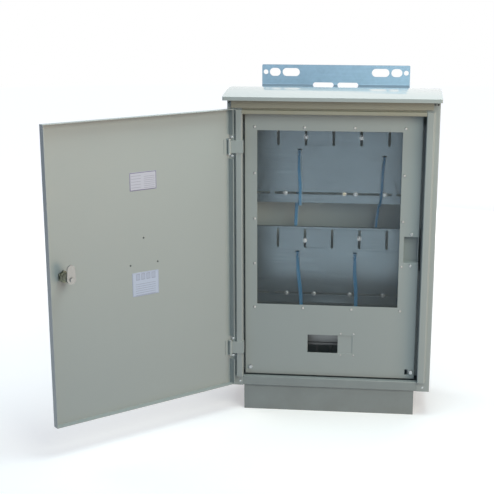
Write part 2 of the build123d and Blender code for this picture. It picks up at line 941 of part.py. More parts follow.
# Straps threaded through the plates, one tail in front and one behind
def tie_strap(bottom, strap_slot, front_end, rear_end):
    """Flat strap with a front tail and a rear tail, bent over the edge of its slot."""
    tail_front = plate_front - strap_front_gap
    tail_rear = plate_front + plate_return + strap_rear_gap
    route = [
        (plate_centre + front_end[0], tail_front, bottom + front_end[1]),
        (plate_centre + strap_slot[0], tail_front, bottom + strap_slot[1]),
        (plate_centre + strap_slot[0], tail_rear, bottom + strap_slot[1]),
        (plate_centre + rear_end[0], tail_rear, bottom + rear_end[1]),
    ]
    with BuildPart() as strap:
        with BuildLine() as path:
            Polyline(*[case_frame.from_local_coords(point) for point in route])
        start = case_frame.from_local_coords(route[0])
        with BuildSketch(Plane(origin=start, x_dir=(1, 0, 0), z_dir=(path.line % 0))):
            Rectangle(strap_width, strap_sheet)
        sweep(path=path.line, transition=Transition.RIGHT)
    return strap.part


for plate_name, plate_bottom in plate_bottoms.items():
    strap_set = strap_places[plate_name]
    finish("meter_plate_" + plate_name, meter_plate(plate_bottom, strap_set))
    for side_name, side_sign in (("left", -1), ("right", 1)):
        bracket_name = "plate_bracket_" + plate_name + "_" + side_name
        finish(bracket_name, plate_bracket(plate_bottom, side_sign))
        strap_name = "tie_strap_" + plate_name + "_" + side_name
        finish(strap_name, tie_strap(plate_bottom, *strap_set[side_name]))
    with BuildPart(case_frame) as meter_bolts:
        for offset_x, offset_z in bolt_places[plate_name]:
            meter_bolt(plate_centre + offset_x, plate_bottom + offset_z)
    finish("meter_bolts_" + plate_name, meter_bolts.part)

# Hat rail for modules and its two posts
rail_low = rail_z - rail_height / 2
rail_high = rail_z + rail_height / 2
hat_skin = [
    (rail_front, rail_low),
    (rail_front, rail_low + rail_flange),
    (rail_back, rail_low + rail_flange),
    (rail_back, rail_high - rail_flange),
    (rail_front, rail_high - rail_flange),
    (rail_front, rail_high),
]
with BuildPart(case_frame) as module_rail:
    with BuildSketch(side_plane(rail_x - rail_length / 2)):
        add(folded(hat_skin, Side.LEFT, rail_sheet, None))
    extrude(amount=rail_length)
finish("module_rail", module_rail.part)

with BuildPart(case_frame) as rail_posts:
    post_back = rail_back + post_thick
    for post_x in (rail_x - post_spread, rail_x + post_spread):
        x0 = post_x - post_half
        x1 = post_x + post_half
        block(x0, x1, rail_back, post_back, sheet, rail_high - post_top_gap)
        block(x0, x1, rail_back - post_foot, post_back, sheet, sheet + post_foot_thick)
finish("rail_posts", rail_posts.part)


# Hinges: screwed base with an arm that bridges the rain lip and hooks over its inner edge
def hinge_arm(height):
    """Fixed half of one hinge, with the eye for the pin."""
    low = height - arm_half
    high = height + arm_half
    foot = left_border - bend
    hook = opening_left + arm_sheet
    with BuildPart(case_frame) as arm:
        base_left = pivot_x - base_overlap
        block(base_left, foot, -base_sheet, 0, height - base_half, height + base_half)
        block(-half + riser_inset, foot, lip_front, -base_sheet, low, high)
        block(pivot_x, hook, lip_front - arm_sheet, lip_front, low, high)
        block(opening_left, hook, lip_front, lip_front + arm_hook, low, high)
        with Locations((pivot_x, pivot_y, height)):
            Cylinder(eye_radius, 2 * arm_half)
            Cylinder(pin_radius + pin_clearance, 3 * arm_half, mode=Mode.SUBTRACT)
    return arm.part


def hinge_bracket(height):
    """Moving half of one hinge: plate on the leaf and two ears round the eye."""
    ear_low = arm_half + ear_gap
    ear_high = ear_low + ear_sheet
    leaf = leaf_inner - pivot_y
    plate_low = height - ear_high
    plate_high = height + ear_high
    with BuildPart(door_frame) as bracket:
        block(-eye_radius, bracket_plate_reach, leaf, leaf + bracket_plate, plate_low, plate_high)
        for low in (height - ear_high, height + ear_low):
            block(-eye_radius, eye_radius, leaf, 0, low, low + ear_sheet)
            with Locations((0, 0, low + ear_sheet / 2)):
                Cylinder(eye_radius, ear_sheet)
        with BuildSketch(door_frame.offset(plate_low)):
            RegularPolygon(pin_radius + pin_clearance, 12, major_radius=False)
        extrude(amount=2 * ear_high, mode=Mode.SUBTRACT)
    return bracket.part


def hinge_pin(height):
    """Pin with a head above the top ear and a peened end below the bottom one."""
    reach = arm_half + ear_gap + ear_sheet
    with BuildPart(door_frame) as pin:
        with Locations((0, 0, height)):
            Cylinder(pin_radius, 2 * reach)
        for low in (height - reach - pin_head_thick, height + reach):
            with BuildSketch(door_frame.offset(low)):
                RegularPolygon(pin_radius + pin_head, 8)
            extrude(amount=pin_head_thick)
    return pin.part


def hinge_screws(height):
    """Two screws through the base plate, above and below the arm."""
    screw_x = pivot_x + hinge_screw_edge
    face = -base_sheet - hinge_screw_head
    with BuildPart(case_frame) as screws:
        for screw_z in (height - hinge_screw_offset, height + hinge_screw_offset):
            stud(case_frame, screw_x, screw_z, hinge_screw_radius, face, -base_sheet)
    return screws.part


for hinge_name, hinge_height in zip(("lower", "upper"), hinge_heights):
    finish("hinge_arm_" + hinge_name, hinge_arm(hinge_height))
    finish("hinge_bracket_" + hinge_name, hinge_bracket(hinge_height))
    finish("hinge_pin_" + hinge_name, hinge_pin(hinge_height))
    finish("hinge_screws_" + hinge_name, hinge_screws(hinge_height))

# Door leaf in the door frame: a tray with slots for the hinges, a lock hole and shallow marks
leaf_left = door_left - pivot_x
leaf_right = door_right - pivot_x
leaf_outer = door_outer - pivot_y
leaf_face = leaf_inner - pivot_y
leaf_rim = door_rim - pivot_y
leaf_lock = lock_x - pivot_x
leaf_centre = -pivot_x
with BuildPart(door_frame) as door_leaf:
    block(leaf_left, leaf_right, leaf_outer, leaf_rim, door_bottom, door_top)
    outer_face = door_leaf.faces().sort_by(Axis(door_frame.origin, door_frame.y_dir))[0]
    fillet(outer_face.edges(), door_corner)
    block(
        leaf_left + sheet,
        leaf_right - sheet,
        leaf_face,
        leaf_rim + 1,
        door_bottom + sheet,
        door_top - sheet,
        Mode.SUBTRACT,
    )
    slot_half = base_half + hinge_slot_gap
    for hinge_height in hinge_heights:
        slot_low = hinge_height - slot_half
        slot_high = hinge_height + slot_half
        slot_right = leaf_left + 2 * sheet
        block(
            leaf_left - 1,
            slot_right,
            leaf_face,
            leaf_rim + 1,
            slot_low,
            slot_high,
            Mode.SUBTRACT,
        )
    lock_hole = barrel_radius + barrel_clearance
    rod_y(leaf_lock, lock_z, lock_hole, leaf_outer - 1, leaf_face + 1, Mode.SUBTRACT)
    marks = (
        (door_mark_x, door_middle + door_mark_high),
        (door_mark_x - door_mark_spread, door_middle + door_mark_low),
        (door_mark_x + door_mark_spread, door_middle + door_mark_low),
    )
    for mark_x, mark_z in marks:
        mark = (door_mark_radius, leaf_face - door_mark_depth, leaf_face + 1, 10, Mode.SUBTRACT)
        stud(door_frame, leaf_centre + mark_x, mark_z, *mark)
finish("door_leaf", door_leaf.part)


# Blank labels on the inside of the door
def label(middle, height):
    """Thin blank label on the inner face of the leaf."""
    left = leaf_centre + label_x - label_width / 2
    low = door_middle + middle - height / 2
    with BuildPart(door_frame) as film:
        right = left + label_width
        block(left, right, leaf_face, leaf_face + label_sheet, low, low + height)
    return film.part


finish("label_upper", label(label_upper_z, label_upper_height))
finish("label_lower", label(label_lower_z, label_lower_height))

# Lock: barrel through the leaf with a rosette outside, nut and collar inside
barrel_tip = barrel_end - pivot_y
with BuildPart(door_frame) as lock_barrel:
    stud(door_frame, leaf_lock, lock_z, barrel_radius, leaf_outer, barrel_tip, 24)
    rosette_face = leaf_outer - rosette_thick
    stud(door_frame, leaf_lock, lock_z, rosette_radius, rosette_face, leaf_outer, 32)
    bore = (key_bore_radius, rosette_face - 1, rosette_face + key_bore_depth)
    stud(door_frame, leaf_lock, lock_z, *bore, 16, Mode.SUBTRACT)
finish("lock_barrel", lock_barrel.part)

with BuildPart(door_frame) as lock_nut:
    nut_end = leaf_face + nut_thick
    stud(door_frame, leaf_lock, lock_z, nut_radius, leaf_face, nut_end, 6)
    stud(door_frame, leaf_lock, lock_z, collar_radius, nut_end, nut_end + collar_thick, 20)
    bore = (lock_hole, leaf_face - 1, nut_end + collar_thick + 1)
    stud(door_frame, leaf_lock, lock_z, *bore, 24, Mode.SUBTRACT)
finish("lock_nut", lock_nut.part)

# Cam that hooks behind the rain lip, and the screw that holds it on the barrel
cam_face = barrel_tip + cam_clearance
cam_plane = Plane(
    origin=door_frame.from_local_coords((leaf_lock, cam_face, lock_z)),
    x_dir=(0, 0, 1),
    z_dir=door_frame.y_dir,
)
cam_span = cam_reach - cam_tip
with BuildPart() as lock_cam:
    with BuildSketch(cam_plane):
        RegularPolygon(cam_boss, 24)
        with Locations((cam_span, 0)):
            RegularPolygon(cam_tip, 24)
        with BuildLine():
            Polyline(
                (0, cam_boss),
                (cam_span, cam_tip),
                (cam_span, -cam_tip),
                (0, -cam_boss),
                (0, cam_boss),
            )
        make_face()
    extrude(amount=cam_sheet)
finish("lock_cam", lock_cam.part)

with BuildPart() as cam_screw:
    with BuildSketch(cam_plane.offset(cam_sheet)):
        RegularPolygon(cam_screw_radius, 6)
    extrude(amount=cam_screw_head)
finish("cam_screw", cam_screw.part)
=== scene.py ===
"""Dresses an electricity meter cabinet: finishes, fasteners, straps, labels, and the studio.

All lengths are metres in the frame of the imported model: +Z up, the door side faces -Y.
"""

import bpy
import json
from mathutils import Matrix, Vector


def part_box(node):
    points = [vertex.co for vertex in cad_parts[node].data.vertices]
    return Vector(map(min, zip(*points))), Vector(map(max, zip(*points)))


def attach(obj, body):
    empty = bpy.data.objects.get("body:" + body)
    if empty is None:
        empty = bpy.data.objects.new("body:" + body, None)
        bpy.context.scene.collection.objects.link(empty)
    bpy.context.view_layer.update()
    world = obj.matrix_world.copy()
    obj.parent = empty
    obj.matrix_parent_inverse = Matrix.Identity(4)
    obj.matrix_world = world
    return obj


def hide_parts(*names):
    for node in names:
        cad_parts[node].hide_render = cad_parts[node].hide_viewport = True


bl_info = {
    "name": "Meter cabinet finish",
    "version": (1, 0, 0),
    "blender": (4, 5, 0),
    "location": "View3D > Sidebar > Cabinet",
    "description": "Sheet finishes, fasteners, straps and labels of a meter cabinet",
    "category": "Object",
}

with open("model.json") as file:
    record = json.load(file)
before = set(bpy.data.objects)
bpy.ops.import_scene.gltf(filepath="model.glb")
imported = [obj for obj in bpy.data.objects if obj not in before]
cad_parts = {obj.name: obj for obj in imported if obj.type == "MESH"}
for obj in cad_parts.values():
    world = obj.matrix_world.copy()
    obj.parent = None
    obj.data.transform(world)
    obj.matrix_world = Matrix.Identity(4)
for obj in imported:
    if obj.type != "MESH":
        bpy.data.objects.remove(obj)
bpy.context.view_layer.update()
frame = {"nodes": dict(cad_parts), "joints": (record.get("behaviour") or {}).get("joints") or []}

import json
from math import cos, pi, radians, sin

import bmesh
import bpy
import numpy as np
from bpy.props import FloatProperty, FloatVectorProperty, PointerProperty
from mathutils import Matrix, Vector

nodes = frame["nodes"]
front = Vector((0, -1, 0))
up = Vector((0, 0, 1))
sheet = 0.0015
dust_colour = (0.36, 0.33, 0.27)
black = (0.0, 0.0, 0.0)
white = (1.0, 1.0, 1.0)
# Direction from the door's skin into the case when the door is shut: the lock's own axis
axes = {joint["name"]: Vector(joint["axis"]).normalized() for joint in frame["joints"]}
inward = axes["lock_cam_turn"]
across_door = up.cross(inward)


# Shader expressions
def math_method(operation, swapped=False):
    """Method that puts two values through a Math node, in their own or in swapped order."""
    def method(self, other):
        pair = (other, self) if swapped else (self, other)
        return self.math(operation, *pair)
    return method


class Field:
    """Socket of a node, usable in sums."""

    def __init__(self, shader, socket):
        self.shader = shader
        self.socket = socket

    def math(self, operation, *values):
        """Math node on one, two or three values."""
        sockets = dict(enumerate(values))
        return self.shader.node("ShaderNodeMath", {"operation": operation}, sockets)

    def clamped(self):
        """The value held between 0 and 1."""
        return self.math("MINIMUM", self.math("MAXIMUM", self, 0.0), 1.0)

    def __abs__(self):
        return self.math("ABSOLUTE", self)

    __add__ = __radd__ = math_method("ADD")
    __sub__ = math_method("SUBTRACT")
    __rsub__ = math_method("SUBTRACT", swapped=True)
    __mul__ = __rmul__ = math_method("MULTIPLY")
    __truediv__ = math_method("DIVIDE")
    __gt__ = math_method("GREATER_THAN")
    __lt__ = math_method("LESS_THAN")


class Shader:
    """Node tree of a material or of the world, built up node by node."""

    def __init__(self, owner):
        owner.use_nodes = True
        self.tree = owner.node_tree
        self.tree.nodes.clear()

    def node(self, kind, settings, sockets, output=0):
        """Adds a node, makes its settings, then fills its sockets, and returns one output."""
        node = self.tree.nodes.new(kind)
        for key, value in settings.items():
            setattr(node, key, value)
        for key, value in sockets.items():
            if isinstance(value, Field):
                self.tree.links.new(value.socket, node.inputs[key])
            else:
                node.inputs[key].default_value = value
        return Field(self, node.outputs[output]) if node.outputs else None

    def place(self):
        """Position on the object, in metres."""
        return self.node("ShaderNodeTexCoord", {}, {}, "Object")

    def scaled(self, factors):
        """Position stretched by three factors."""
        sockets = {"Vector": self.place(), "Scale": factors}
        return self.node("ShaderNodeMapping", {}, sockets)

    def part(self, axis):
        """One coordinate of the position."""
        return self.node("ShaderNodeSeparateXYZ", {}, {0: self.place()}, axis)

    def upward(self):
        """How far the surface faces up: 1 on top, 0 on walls."""
        facing = self.node("ShaderNodeNewGeometry", {}, {}, "Normal")
        return self.node("ShaderNodeSeparateXYZ", {}, {0: facing}, 2).clamped()

    def noise(self, scale, detail=3.0, roughness=0.55, vector=None):
        """Cloudy value round one half; the scale is features per metre."""
        sockets = {"Scale": scale, "Detail": detail, "Roughness": roughness}
        sockets["Vector"] = vector or self.place()
        return self.node("ShaderNodeTexNoise", {}, sockets, "Fac")

    def flakes(self, scale, channel):
        """One channel of the colours of a pattern of cells."""
        sockets = {"Scale": scale, "Vector": self.place()}
        cells = self.node("ShaderNodeTexVoronoi", {"feature": "F1"}, sockets, "Color")
        return self.node("ShaderNodeSeparateColor", {}, {0: cells}, channel)

    def blend(self, factor, first, second):
        """Colour between two colours."""
        settings = {"data_type": "RGBA", "blend_type": "MIX"}
        sockets = {0: factor}
        for key, value in ((6, first), (7, second)):
            sockets[key] = value if isinstance(value, Field) else (*value[:3], 1.0)
        return self.node("ShaderNodeMix", settings, sockets, 2)

    def tones(self, factor, colour, dark, pale):
        """Colour between a darker and a paler shade of one colour."""
        return self.blend(factor, shade_of(colour, dark), shade_of(colour, pale))

    def bump(self, height, distance, strength):
        """Normal raised by a height."""
        sockets = {"Height": height, "Distance": distance, "Strength": strength}
        return self.node("ShaderNodeBump", {}, sockets)

    def surface(self, colour, rough, relief=None, others=()):
        """Ends the tree in one surface; others are more sockets of it, by name."""
        if isinstance(rough, Field):
            rough = rough.clamped()
        sockets = {"Base Color": colour, "Roughness": rough, **dict(others)}
        if relief:
            sockets["Normal"] = relief
        shade = self.node("ShaderNodeBsdfPrincipled", {}, sockets)
        self.node("ShaderNodeOutputMaterial", {}, {0: shade})


finishes = {}


def material(name, colour):
    """New shader with its material registered under a name."""
    owner = bpy.data.materials.new(name)
    owner.diffuse_color = (*colour[:3], 1.0)
    finishes[name] = owner
    return Shader(owner)


def shade_of(colour, factor):
    """Colour made lighter or darker."""
    return tuple(channel * factor for channel in colour)


def powder_coat(name, options, film=dust_colour, share=0.0, gloss=0.0, depth=None):
    """Semi-matt powder coat: cloudy tone, orange peel, grit, dust low down and a thin film.

    A depth gives the film's thick level, its upper end and how far back it reaches. On the header
    and inside the case the film is painted shade; on the plinth and sill it makes the coat darker
    all over.
    """
    colour = tuple(options.colour)
    shader = material(name, colour)
    cloud_scale, patch_scale, grit_scale = 3.0, 17.0, 4200.0
    dust_line, streak_stretch = 0.09, (38.0, 38.0, 1.6)
    cloud = shader.noise(cloud_scale, 3.0)
    patch = shader.noise(patch_scale, 4.0, 0.6)
    peel = shader.noise(1.0 / options.peel_size, 2.0, 0.45)
    grit = shader.noise(grit_scale, 1.0)
    height = shader.part(2)
    dust = ((dust_line - height) * 11.0).clamped() * (patch * 1.6 - 0.25).clamped()
    streak = shader.noise(1.0, 4.0, 0.6, shader.scaled(streak_stretch))
    tone = (cloud * 0.55 + patch * 0.25 + streak * 0.2).clamped()
    spread = options.tone_spread
    body = shader.tones(tone, colour, 1 - spread, 1 + spread)
    body = shader.blend((grit - 0.5) * 0.22 + 0.08, body, shade_of(colour, 1.22))
    body = shader.blend(dust * 0.35, body, dust_colour)
    # The film: painted shade on the header and inside the case, a darker tone all over on the
    # plinth and sill
    if share:
        cover = share + (patch - 0.5) * 0.3
        # Painted shade inside the case: full below the low level, gone at the high one, only in
        # front of the rear
        if depth:
            low, high, rear = depth
            fading = ((high - height) / (high - low)).clamped()
            cover = cover * fading * (shader.part(1) < rear)
        body = shader.blend(cover.clamped(), body, film)
    rough = options.roughness - 0.07 + patch * 0.1 + (streak - 0.5) * 0.05 + dust * 0.2
    relief = shader.bump(peel * 0.9 + grit * 0.1, options.peel_depth, 0.55)
    others = {"Specular IOR Level": 0.5, "IOR": 1.5}
    if gloss:
        washed = ((shader.upward() - 0.5) * 4.0).clamped() * gloss
        others.update({"Coat Weight": washed, "Coat Roughness": 0.09, "Coat IOR": 2.5})
    shader.surface(body, rough, relief, others)


def zinc_sheet(name, colour, options, spangle, scratches, roughness=0.3, dust=0.0):
    """Galvanised sheet: spangle, rolling lines, dull patches and dust where it lies flat."""
    shader = material(name, colour)
    warp_scale, dull_scale, fine_share = 90.0, 11.0, 2.7
    rolling_stretch, settled_dust = (7.0, 7.0, 300.0), (0.13, 0.15, 0.15)
    scale = 1.0 / options.spangle_size
    warp = shader.noise(warp_scale, 2.0)
    tilt = shader.flakes(scale, 0)
    fine = shader.flakes(scale * fine_share, 1)
    dull = shader.noise(dull_scale, 4.0, 0.62)
    rolled = shader.noise(1.0, 4.0, 0.65, shader.scaled(rolling_stretch))
    flake = tilt * 0.62 + fine * 0.26 + warp * 0.12
    body = shader.tones(flake, colour, 1 - spangle, 1 + spangle)
    body = shader.blend((dull * 1.7 - 0.62).clamped() * 0.5, body, shade_of(colour, 0.66))
    body = shader.blend(((rolled - 0.5) * scratches).clamped(), body, shade_of(colour, 1.7))
    body = shader.blend(((0.5 - rolled) * scratches).clamped(), body, shade_of(colour, 0.6))
    rough = roughness + flake * 0.14 + dull * 0.12 + rolled * 0.05
    if dust:
        flat = ((shader.upward() - 0.4) * 3.0).clamped()
        settled = (flat * (dust - dull * 0.3)).clamped()
        body = shader.blend(settled, body, settled_dust)
        rough = rough + settled * 0.4
    relief = shader.bump(flake * 0.6 + rolled * 0.4, 0.00006, 0.5)
    shader.surface(body, rough, relief, {"Metallic": 0.92})


def bright_zinc(name, colour, roughness=0.17):
    """Plated or bare small metal pieces: tumbling marks and a faint haze of wear."""
    shader = material(name, colour)
    worn_scale, mark_scale = 420.0, 1900.0
    worn = shader.noise(worn_scale, 4.0, 0.65)
    marks = shader.noise(mark_scale, 2.0, 0.5)
    tone = shader.tones(worn, colour, 0.8, 1.12)
    body = shader.blend((worn * 2.2 - 1.25).clamped() * 0.5, tone, shade_of(colour, 0.55))
    rough = roughness + worn * 0.2 + marks * 0.06
    relief = shader.bump(marks * 0.6 + worn * 0.4, 0.00003, 0.5)
    shader.surface(body, rough, relief, {"Metallic": 1.0})


def clear_pane(options):
    """Clear sheet that shows mostly what is behind it: faint haze, wipe marks and gloss."""
    colour = tuple(options.pane_colour)
    shader = material("clear_pane", colour)
    wipe_stretch, haze_scale, speck_scale = (55.0, 55.0, 7.0), 9.0, 900.0
    wiped = shader.noise(1.0, 3.0, 0.6, shader.scaled(wipe_stretch))
    haze = shader.noise(haze_scale, 3.0)
    specks = (shader.noise(speck_scale, 1.0) - 0.71).clamped() * 3.0
    cover = options.pane_haze + (haze - 0.5) * 0.03 + (wiped - 0.5) * 0.02 + specks
    body = shader.blend(haze, shade_of(colour, 0.9), colour)
    rough = 0.04 + wiped * 0.07
    others = {"Alpha": cover.clamped(), "IOR": 1.58, "Specular IOR Level": 0.9}
    shader.surface(body, rough, None, others)


def strap_plastic(options):
    """Translucent blue strap: milky tone, stretch lines, soft gloss, clearer towards its top."""
    colour = tuple(options.strap_colour)
    stretched, line_stretch, milk_scale = (0.16, 0.34, 0.6), (1500.0, 1500.0, 20.0), 60.0
    lower_top, upper_rise, between_plates = 0.372, 0.262, 0.39
    shader = material("strap_plastic", colour)
    lines = shader.noise(1.0, 2.0, 0.5, shader.scaled(line_stretch))
    milk = shader.noise(milk_scale, 3.0)
    body = shader.tones(milk, colour, 0.82, 1.2)
    body = shader.blend((lines - 0.5).clamped() * 0.6, body, stretched)
    rough = 0.22 + lines * 0.2
    relief = shader.bump(lines, 0.0001, 0.4)
    height = shader.part(2)
    top = lower_top + (height > between_plates) * upper_rise
    below = ((top - height) / options.strap_fade).clamped()
    shader.surface(body, rough, relief, {"Alpha": 0.55 + below * 0.4, "IOR": 1.5})


def mottled(name, colour, scale, dark, pale, rough, spread, others):
    """Small plain piece between two tones, rougher where it is paler."""
    shader = material(name, colour)
    cloud = shader.noise(scale, 3.0)
    shader.surface(shader.blend(cloud, dark, pale), rough + cloud * spread, None, others)


def rubber(name, dark, bloomed):
    """Extruded rubber: matt skin, fine drag lines and grey bloom."""
    shader = material(name, dark)
    bloom = shader.noise(70.0, 4.0, 0.6)
    skin = shader.noise(2600.0, 2.0)
    body = shader.blend((bloom * 1.6 - 0.5).clamped(), dark, bloomed)
    rough = 0.55 + bloom * 0.2 + skin * 0.06
    shader.surface(body, rough, shader.bump(skin, 0.00008, 0.6))


def printed_film(name, options, size, bands, boxes, border, tint):
    """Blank printed film: frame, ruled rows and empty boxes, in the label's own plane."""
    paper = tuple(channel * share for channel, share in zip(options.film_colour, tint))
    ink = tuple(options.frame_colour)
    shader = material(name, paper)
    across = shader.part(0)
    along = shader.part(2)
    half_width, half_height = size[0] / 2, size[1] / 2
    from_side = half_width - abs(across)
    from_end = half_height - abs(along)
    margin = from_side.math("MINIMUM", from_side, from_end)
    inset, line = options.frame_inset, options.frame_line
    edge = (margin > inset) * (margin < inset + line) * border
    inner = margin > inset + line
    rule = options.rule_line
    for low, high, pitch, left, right in bands:
        rows = along.math("FRACT", (along - low) / pitch)
        inside = (along > low) * (along < high) * (across > left) * (across < right)
        edge = edge + (rows < 1.6 * rule / pitch) * inside * 0.62
    for x, z, half_box in boxes:
        reach = across.math("MAXIMUM", abs(across - x), abs(along - z) * 0.72)
        edge = edge + (reach < half_box) * (0.2 + (reach > half_box - 1.6 * rule) * 0.4)
    fibre = shader.noise(1300.0, 3.0)
    age = shader.noise(40.0, 3.0)
    body = shader.blend(fibre * 0.35 + age * 0.3, paper, shade_of(paper, 0.84))
    body = shader.blend((1 - inner) * border * 0.35, body, shade_of(ink, 2.6))
    body = shader.blend(edge.clamped() * 0.9, body, ink)
    rough = 0.36 + fibre * 0.16
    shader.surface(body, rough, shader.bump(fibre * 0.4 + age * 0.6, 0.00012, 0.35))


# Mesh pieces
class Shape:
    """Mesh of one piece, built up from closed shapes in metres."""

    def __init__(self):
        self.mesh = bmesh.new()

    def skin(self, loops, closed=False, slot=0):
        """Joins loops of vertices side by side; ends are capped unless the skin is closed."""
        pairs = list(zip(loops, loops[1:]))
        if closed:
            pairs.append((loops[-1], loops[0]))
        for one, two in pairs:
            count = max(len(one), len(two))
            for step in range(count):
                corners = [one[step % len(one)], one[(step + 1) % len(one)]]
                corners += [two[(step + 1) % len(two)], two[step % len(two)]]
                ordered = list(dict.fromkeys(corners))
                if len(ordered) > 2:
                    self.mesh.faces.new(ordered).material_index = slot
        if not closed:
            for loop in (loops[0], loops[-1]):
                if len(loop) > 2:
                    self.mesh.faces.new(loop).material_index = slot

    def turned(self, origin, along, rings, segments=40, sunk=None, slot=0):
        """Turned shape; a ring is radius, height, and for flats their number and half width."""
        axis = Vector(along).normalized()
        side = axis.cross(up if abs(axis.z) < 0.9 else front).normalized()
        rise = side.cross(axis).normalized()
        top = max(ring[1] for ring in rings)
        loops = []
        for ring in rings:
            radius, height = ring[:2]
            if radius == 0:
                drop = sunk(0.0, 0.0) if sunk and height > top * 0.8 else 0.0
                loops.append([self.mesh.verts.new(origin + axis * (height - drop))])
                continue
            loop = []
            for step in range(segments):
                angle = 2 * pi * step / segments
                reach = radius
                if len(ring) > 2:
                    turn = (angle + pi / ring[2]) % (2 * pi / ring[2]) - pi / ring[2]
                    reach = min(radius, ring[3] / cos(turn))
                x, z = reach * cos(angle), reach * sin(angle)
                drop = sunk(x, z) if sunk and height > top * 0.8 else 0.0
                point = origin + side * x + rise * z + axis * (height - drop)
                loop.append(self.mesh.verts.new(point))
            loops.append(loop)
        self.skin(loops, slot=slot)

    def swept(self, stations, section, slot=0, closed=False, widths=None):
        """Section of points (across, through) carried along stations, each with its width."""
        loops = []
        for index, (point, across, through) in enumerate(stations):
            side = across * widths[index] if widths else across
            loops.append([self.mesh.verts.new(point + side * a + through * b) for a, b in section])
        self.skin(loops, closed, slot)

    def object(self, name, body, finish, replaced=(), sharp=32.0, place=None):
        """Makes the piece an object that rides on a body and stands for CAD nodes."""
        bmesh.ops.recalc_face_normals(self.mesh, faces=self.mesh.faces)
        for face in self.mesh.faces:
            face.smooth = True
        for edge in self.mesh.edges:
            if len(edge.link_faces) == 2 and edge.calc_face_angle(0.0) > radians(sharp):
                edge.smooth = False
        data = bpy.data.meshes.new(name)
        self.mesh.to_mesh(data)
        self.mesh.free()
        for part in [finish] if isinstance(finish, str) else finish:
            data.materials.append(finishes[part])
        made = bpy.data.objects.new(name, data)
        bpy.context.scene.collection.objects.link(made)
        if place:
            made.matrix_world = place
        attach(made, body)
        if replaced:
            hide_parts(*replaced)


def islands(node):
    """Low and high corner of each loose solid in a CAD node, in a steady order."""
    data = nodes[node].data
    points = np.array([vertex.co for vertex in data.vertices])
    keys, weld = np.unique(np.round(points, 5), axis=0, return_inverse=True)
    weld = weld.reshape(-1)
    lead = list(range(len(keys)))

    def root(index):
        while lead[index] != index:
            lead[index] = lead[lead[index]]
            index = lead[index]
        return index

    for polygon in data.polygons:
        first = root(weld[polygon.vertices[0]])
        for vertex in polygon.vertices:
            lead[root(weld[vertex])] = first
    groups = {}
    for index, key in enumerate(keys):
        groups.setdefault(root(index), []).append(key)
    boxes = [(Vector(np.min(g, axis=0)), Vector(np.max(g, axis=0))) for g in groups.values()]
    return sorted(boxes, key=lambda box: tuple(round(value, 4) for value in box[0]))


def centred(low, high, depth):
    """Point in the middle of a box seen from the front, at a depth along Y."""
    return Vector(((low.x + high.x) / 2, depth, (low.z + high.z) / 2))


def seat(low, high):
    """Middle of a fastener's rear face, half its width and its depth, from its box."""
    return centred(low, high, high.y), (high.x - low.x) / 2, high.y - low.y


def heads(node, ending, finish, head):
    """One piece of all the heads in a node; head adds one to a shape, from its box."""
    shape = Shape()
    for box in islands(node):
        head(shape, *box)
    shape.object(node + ending, "cabinet", finish, [node])


def scaled_rings(profile, radius, height):
    """Rings of a turned head from a profile in shares of its radius and height."""
    return [(0.0, 0.0)] + [(radius * r, height * h) for r, h in profile]


def span(node, along):
    """Least and greatest reach of a node along a direction."""
    reach = [vertex.co.dot(along) for vertex in nodes[node].data.vertices]
    return min(reach), max(reach)


def inward_seat(node):
    """Outer end of a part of the lock and its length, along the lock's axis."""
    low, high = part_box(node)
    least, most = span(node, inward)
    return (low + high) / 2 - inward * ((most - least) / 2), most - least


def rounded(half_x, half_y, radius, steps):
    """Centre and angle of each step round a rectangle with rounded corners."""
    for quarter, (sign_x, sign_y) in enumerate(((1, 1), (-1, 1), (-1, -1), (1, -1))):
        for step in range(steps + 1):
            angle = pi / 2 * (quarter + step / steps)
            yield sign_x * (half_x - radius), sign_y * (half_y - radius), angle


def coat(finish, *names):
    """Gives CAD nodes a finish."""
    for name in names:
        slots = nodes[name].data.materials
        slots.clear()
        slots.append(finishes[finish])


def broken_edges(width, *names):
    """Rounds the sharp folds and edges of CAD nodes by modifiers."""
    for name in names:
        weld = nodes[name].modifiers.new("one_skin", "WELD")
        weld.merge_threshold = 0.00001
        bevel = nodes[name].modifiers.new("round_folds", "BEVEL")
        bevel.width = width
        bevel.segments = 3
        bevel.limit_method = "ANGLE"
        bevel.angle_limit = radians(50.0)
        bevel.harden_normals = True


def cross_recess(reach, width, depth):
    """Depth of a cross recess at a point of a screw head."""
    def sunk(x, z):
        long, short = max(abs(x), abs(z)), min(abs(x), abs(z))
        ends = min(max((reach - long) / (0.3 * reach), 0.0), 1.0)
        walls = min(max((width - short) / (0.45 * width), 0.0), 1.0)
        return depth * ends * walls
    return sunk


def slot_recess(width, depth):
    """Depth of a straight slot at a point of a screw head."""
    def sunk(x, z):
        return depth * min(max((width - abs(z)) / (0.3 * width), 0.0), 1.0)
    return sunk


def pan_head(shape, origin, along, radius, height, base=0.0, segments=40, sunk=None, slot=0):
    """Pan head with a rounded shoulder and a driving recess."""
    crown = [(1.0, 0.0), (1.0, 0.3), (0.975, 0.52), (0.91, 0.72), (0.8, 0.87), (0.66, 0.95)]
    crown += [(0.58, 0.975), (0.5, 0.985), (0.42, 0.99), (0.34, 0.995), (0.27, 1.0)]
    crown += [(0.2, 1.0), (0.13, 1.0), (0.07, 1.0), (0.0, 1.0)]
    rings = [(0.98 * radius, base)] + [(radius * r, base + height * h) for r, h in crown]
    sunk = sunk or cross_recess(0.55 * radius, 0.17 * radius, 0.45 * height)
    shape.turned(origin, along, rings, segments, sunk, slot)


def chamfered_nut(shape, origin, along, half_width, height, flats, base=0.0, bore=0.0):
    """Hexagon or square with the corners turned off on top."""
    corner = half_width / cos(pi / flats)
    chamfer = 0.6 * (corner - half_width)
    rings = [(bore, base)] if bore else [(0.0, base)]
    rings += [(half_width * 0.97, base), (corner, base + chamfer, flats, half_width)]
    rings += [(corner, base + height - chamfer, flats, half_width)]
    rings += [(half_width * 0.985, base + height), (bore, base + height)]
    shape.turned(origin, along, rings, 12 * flats)


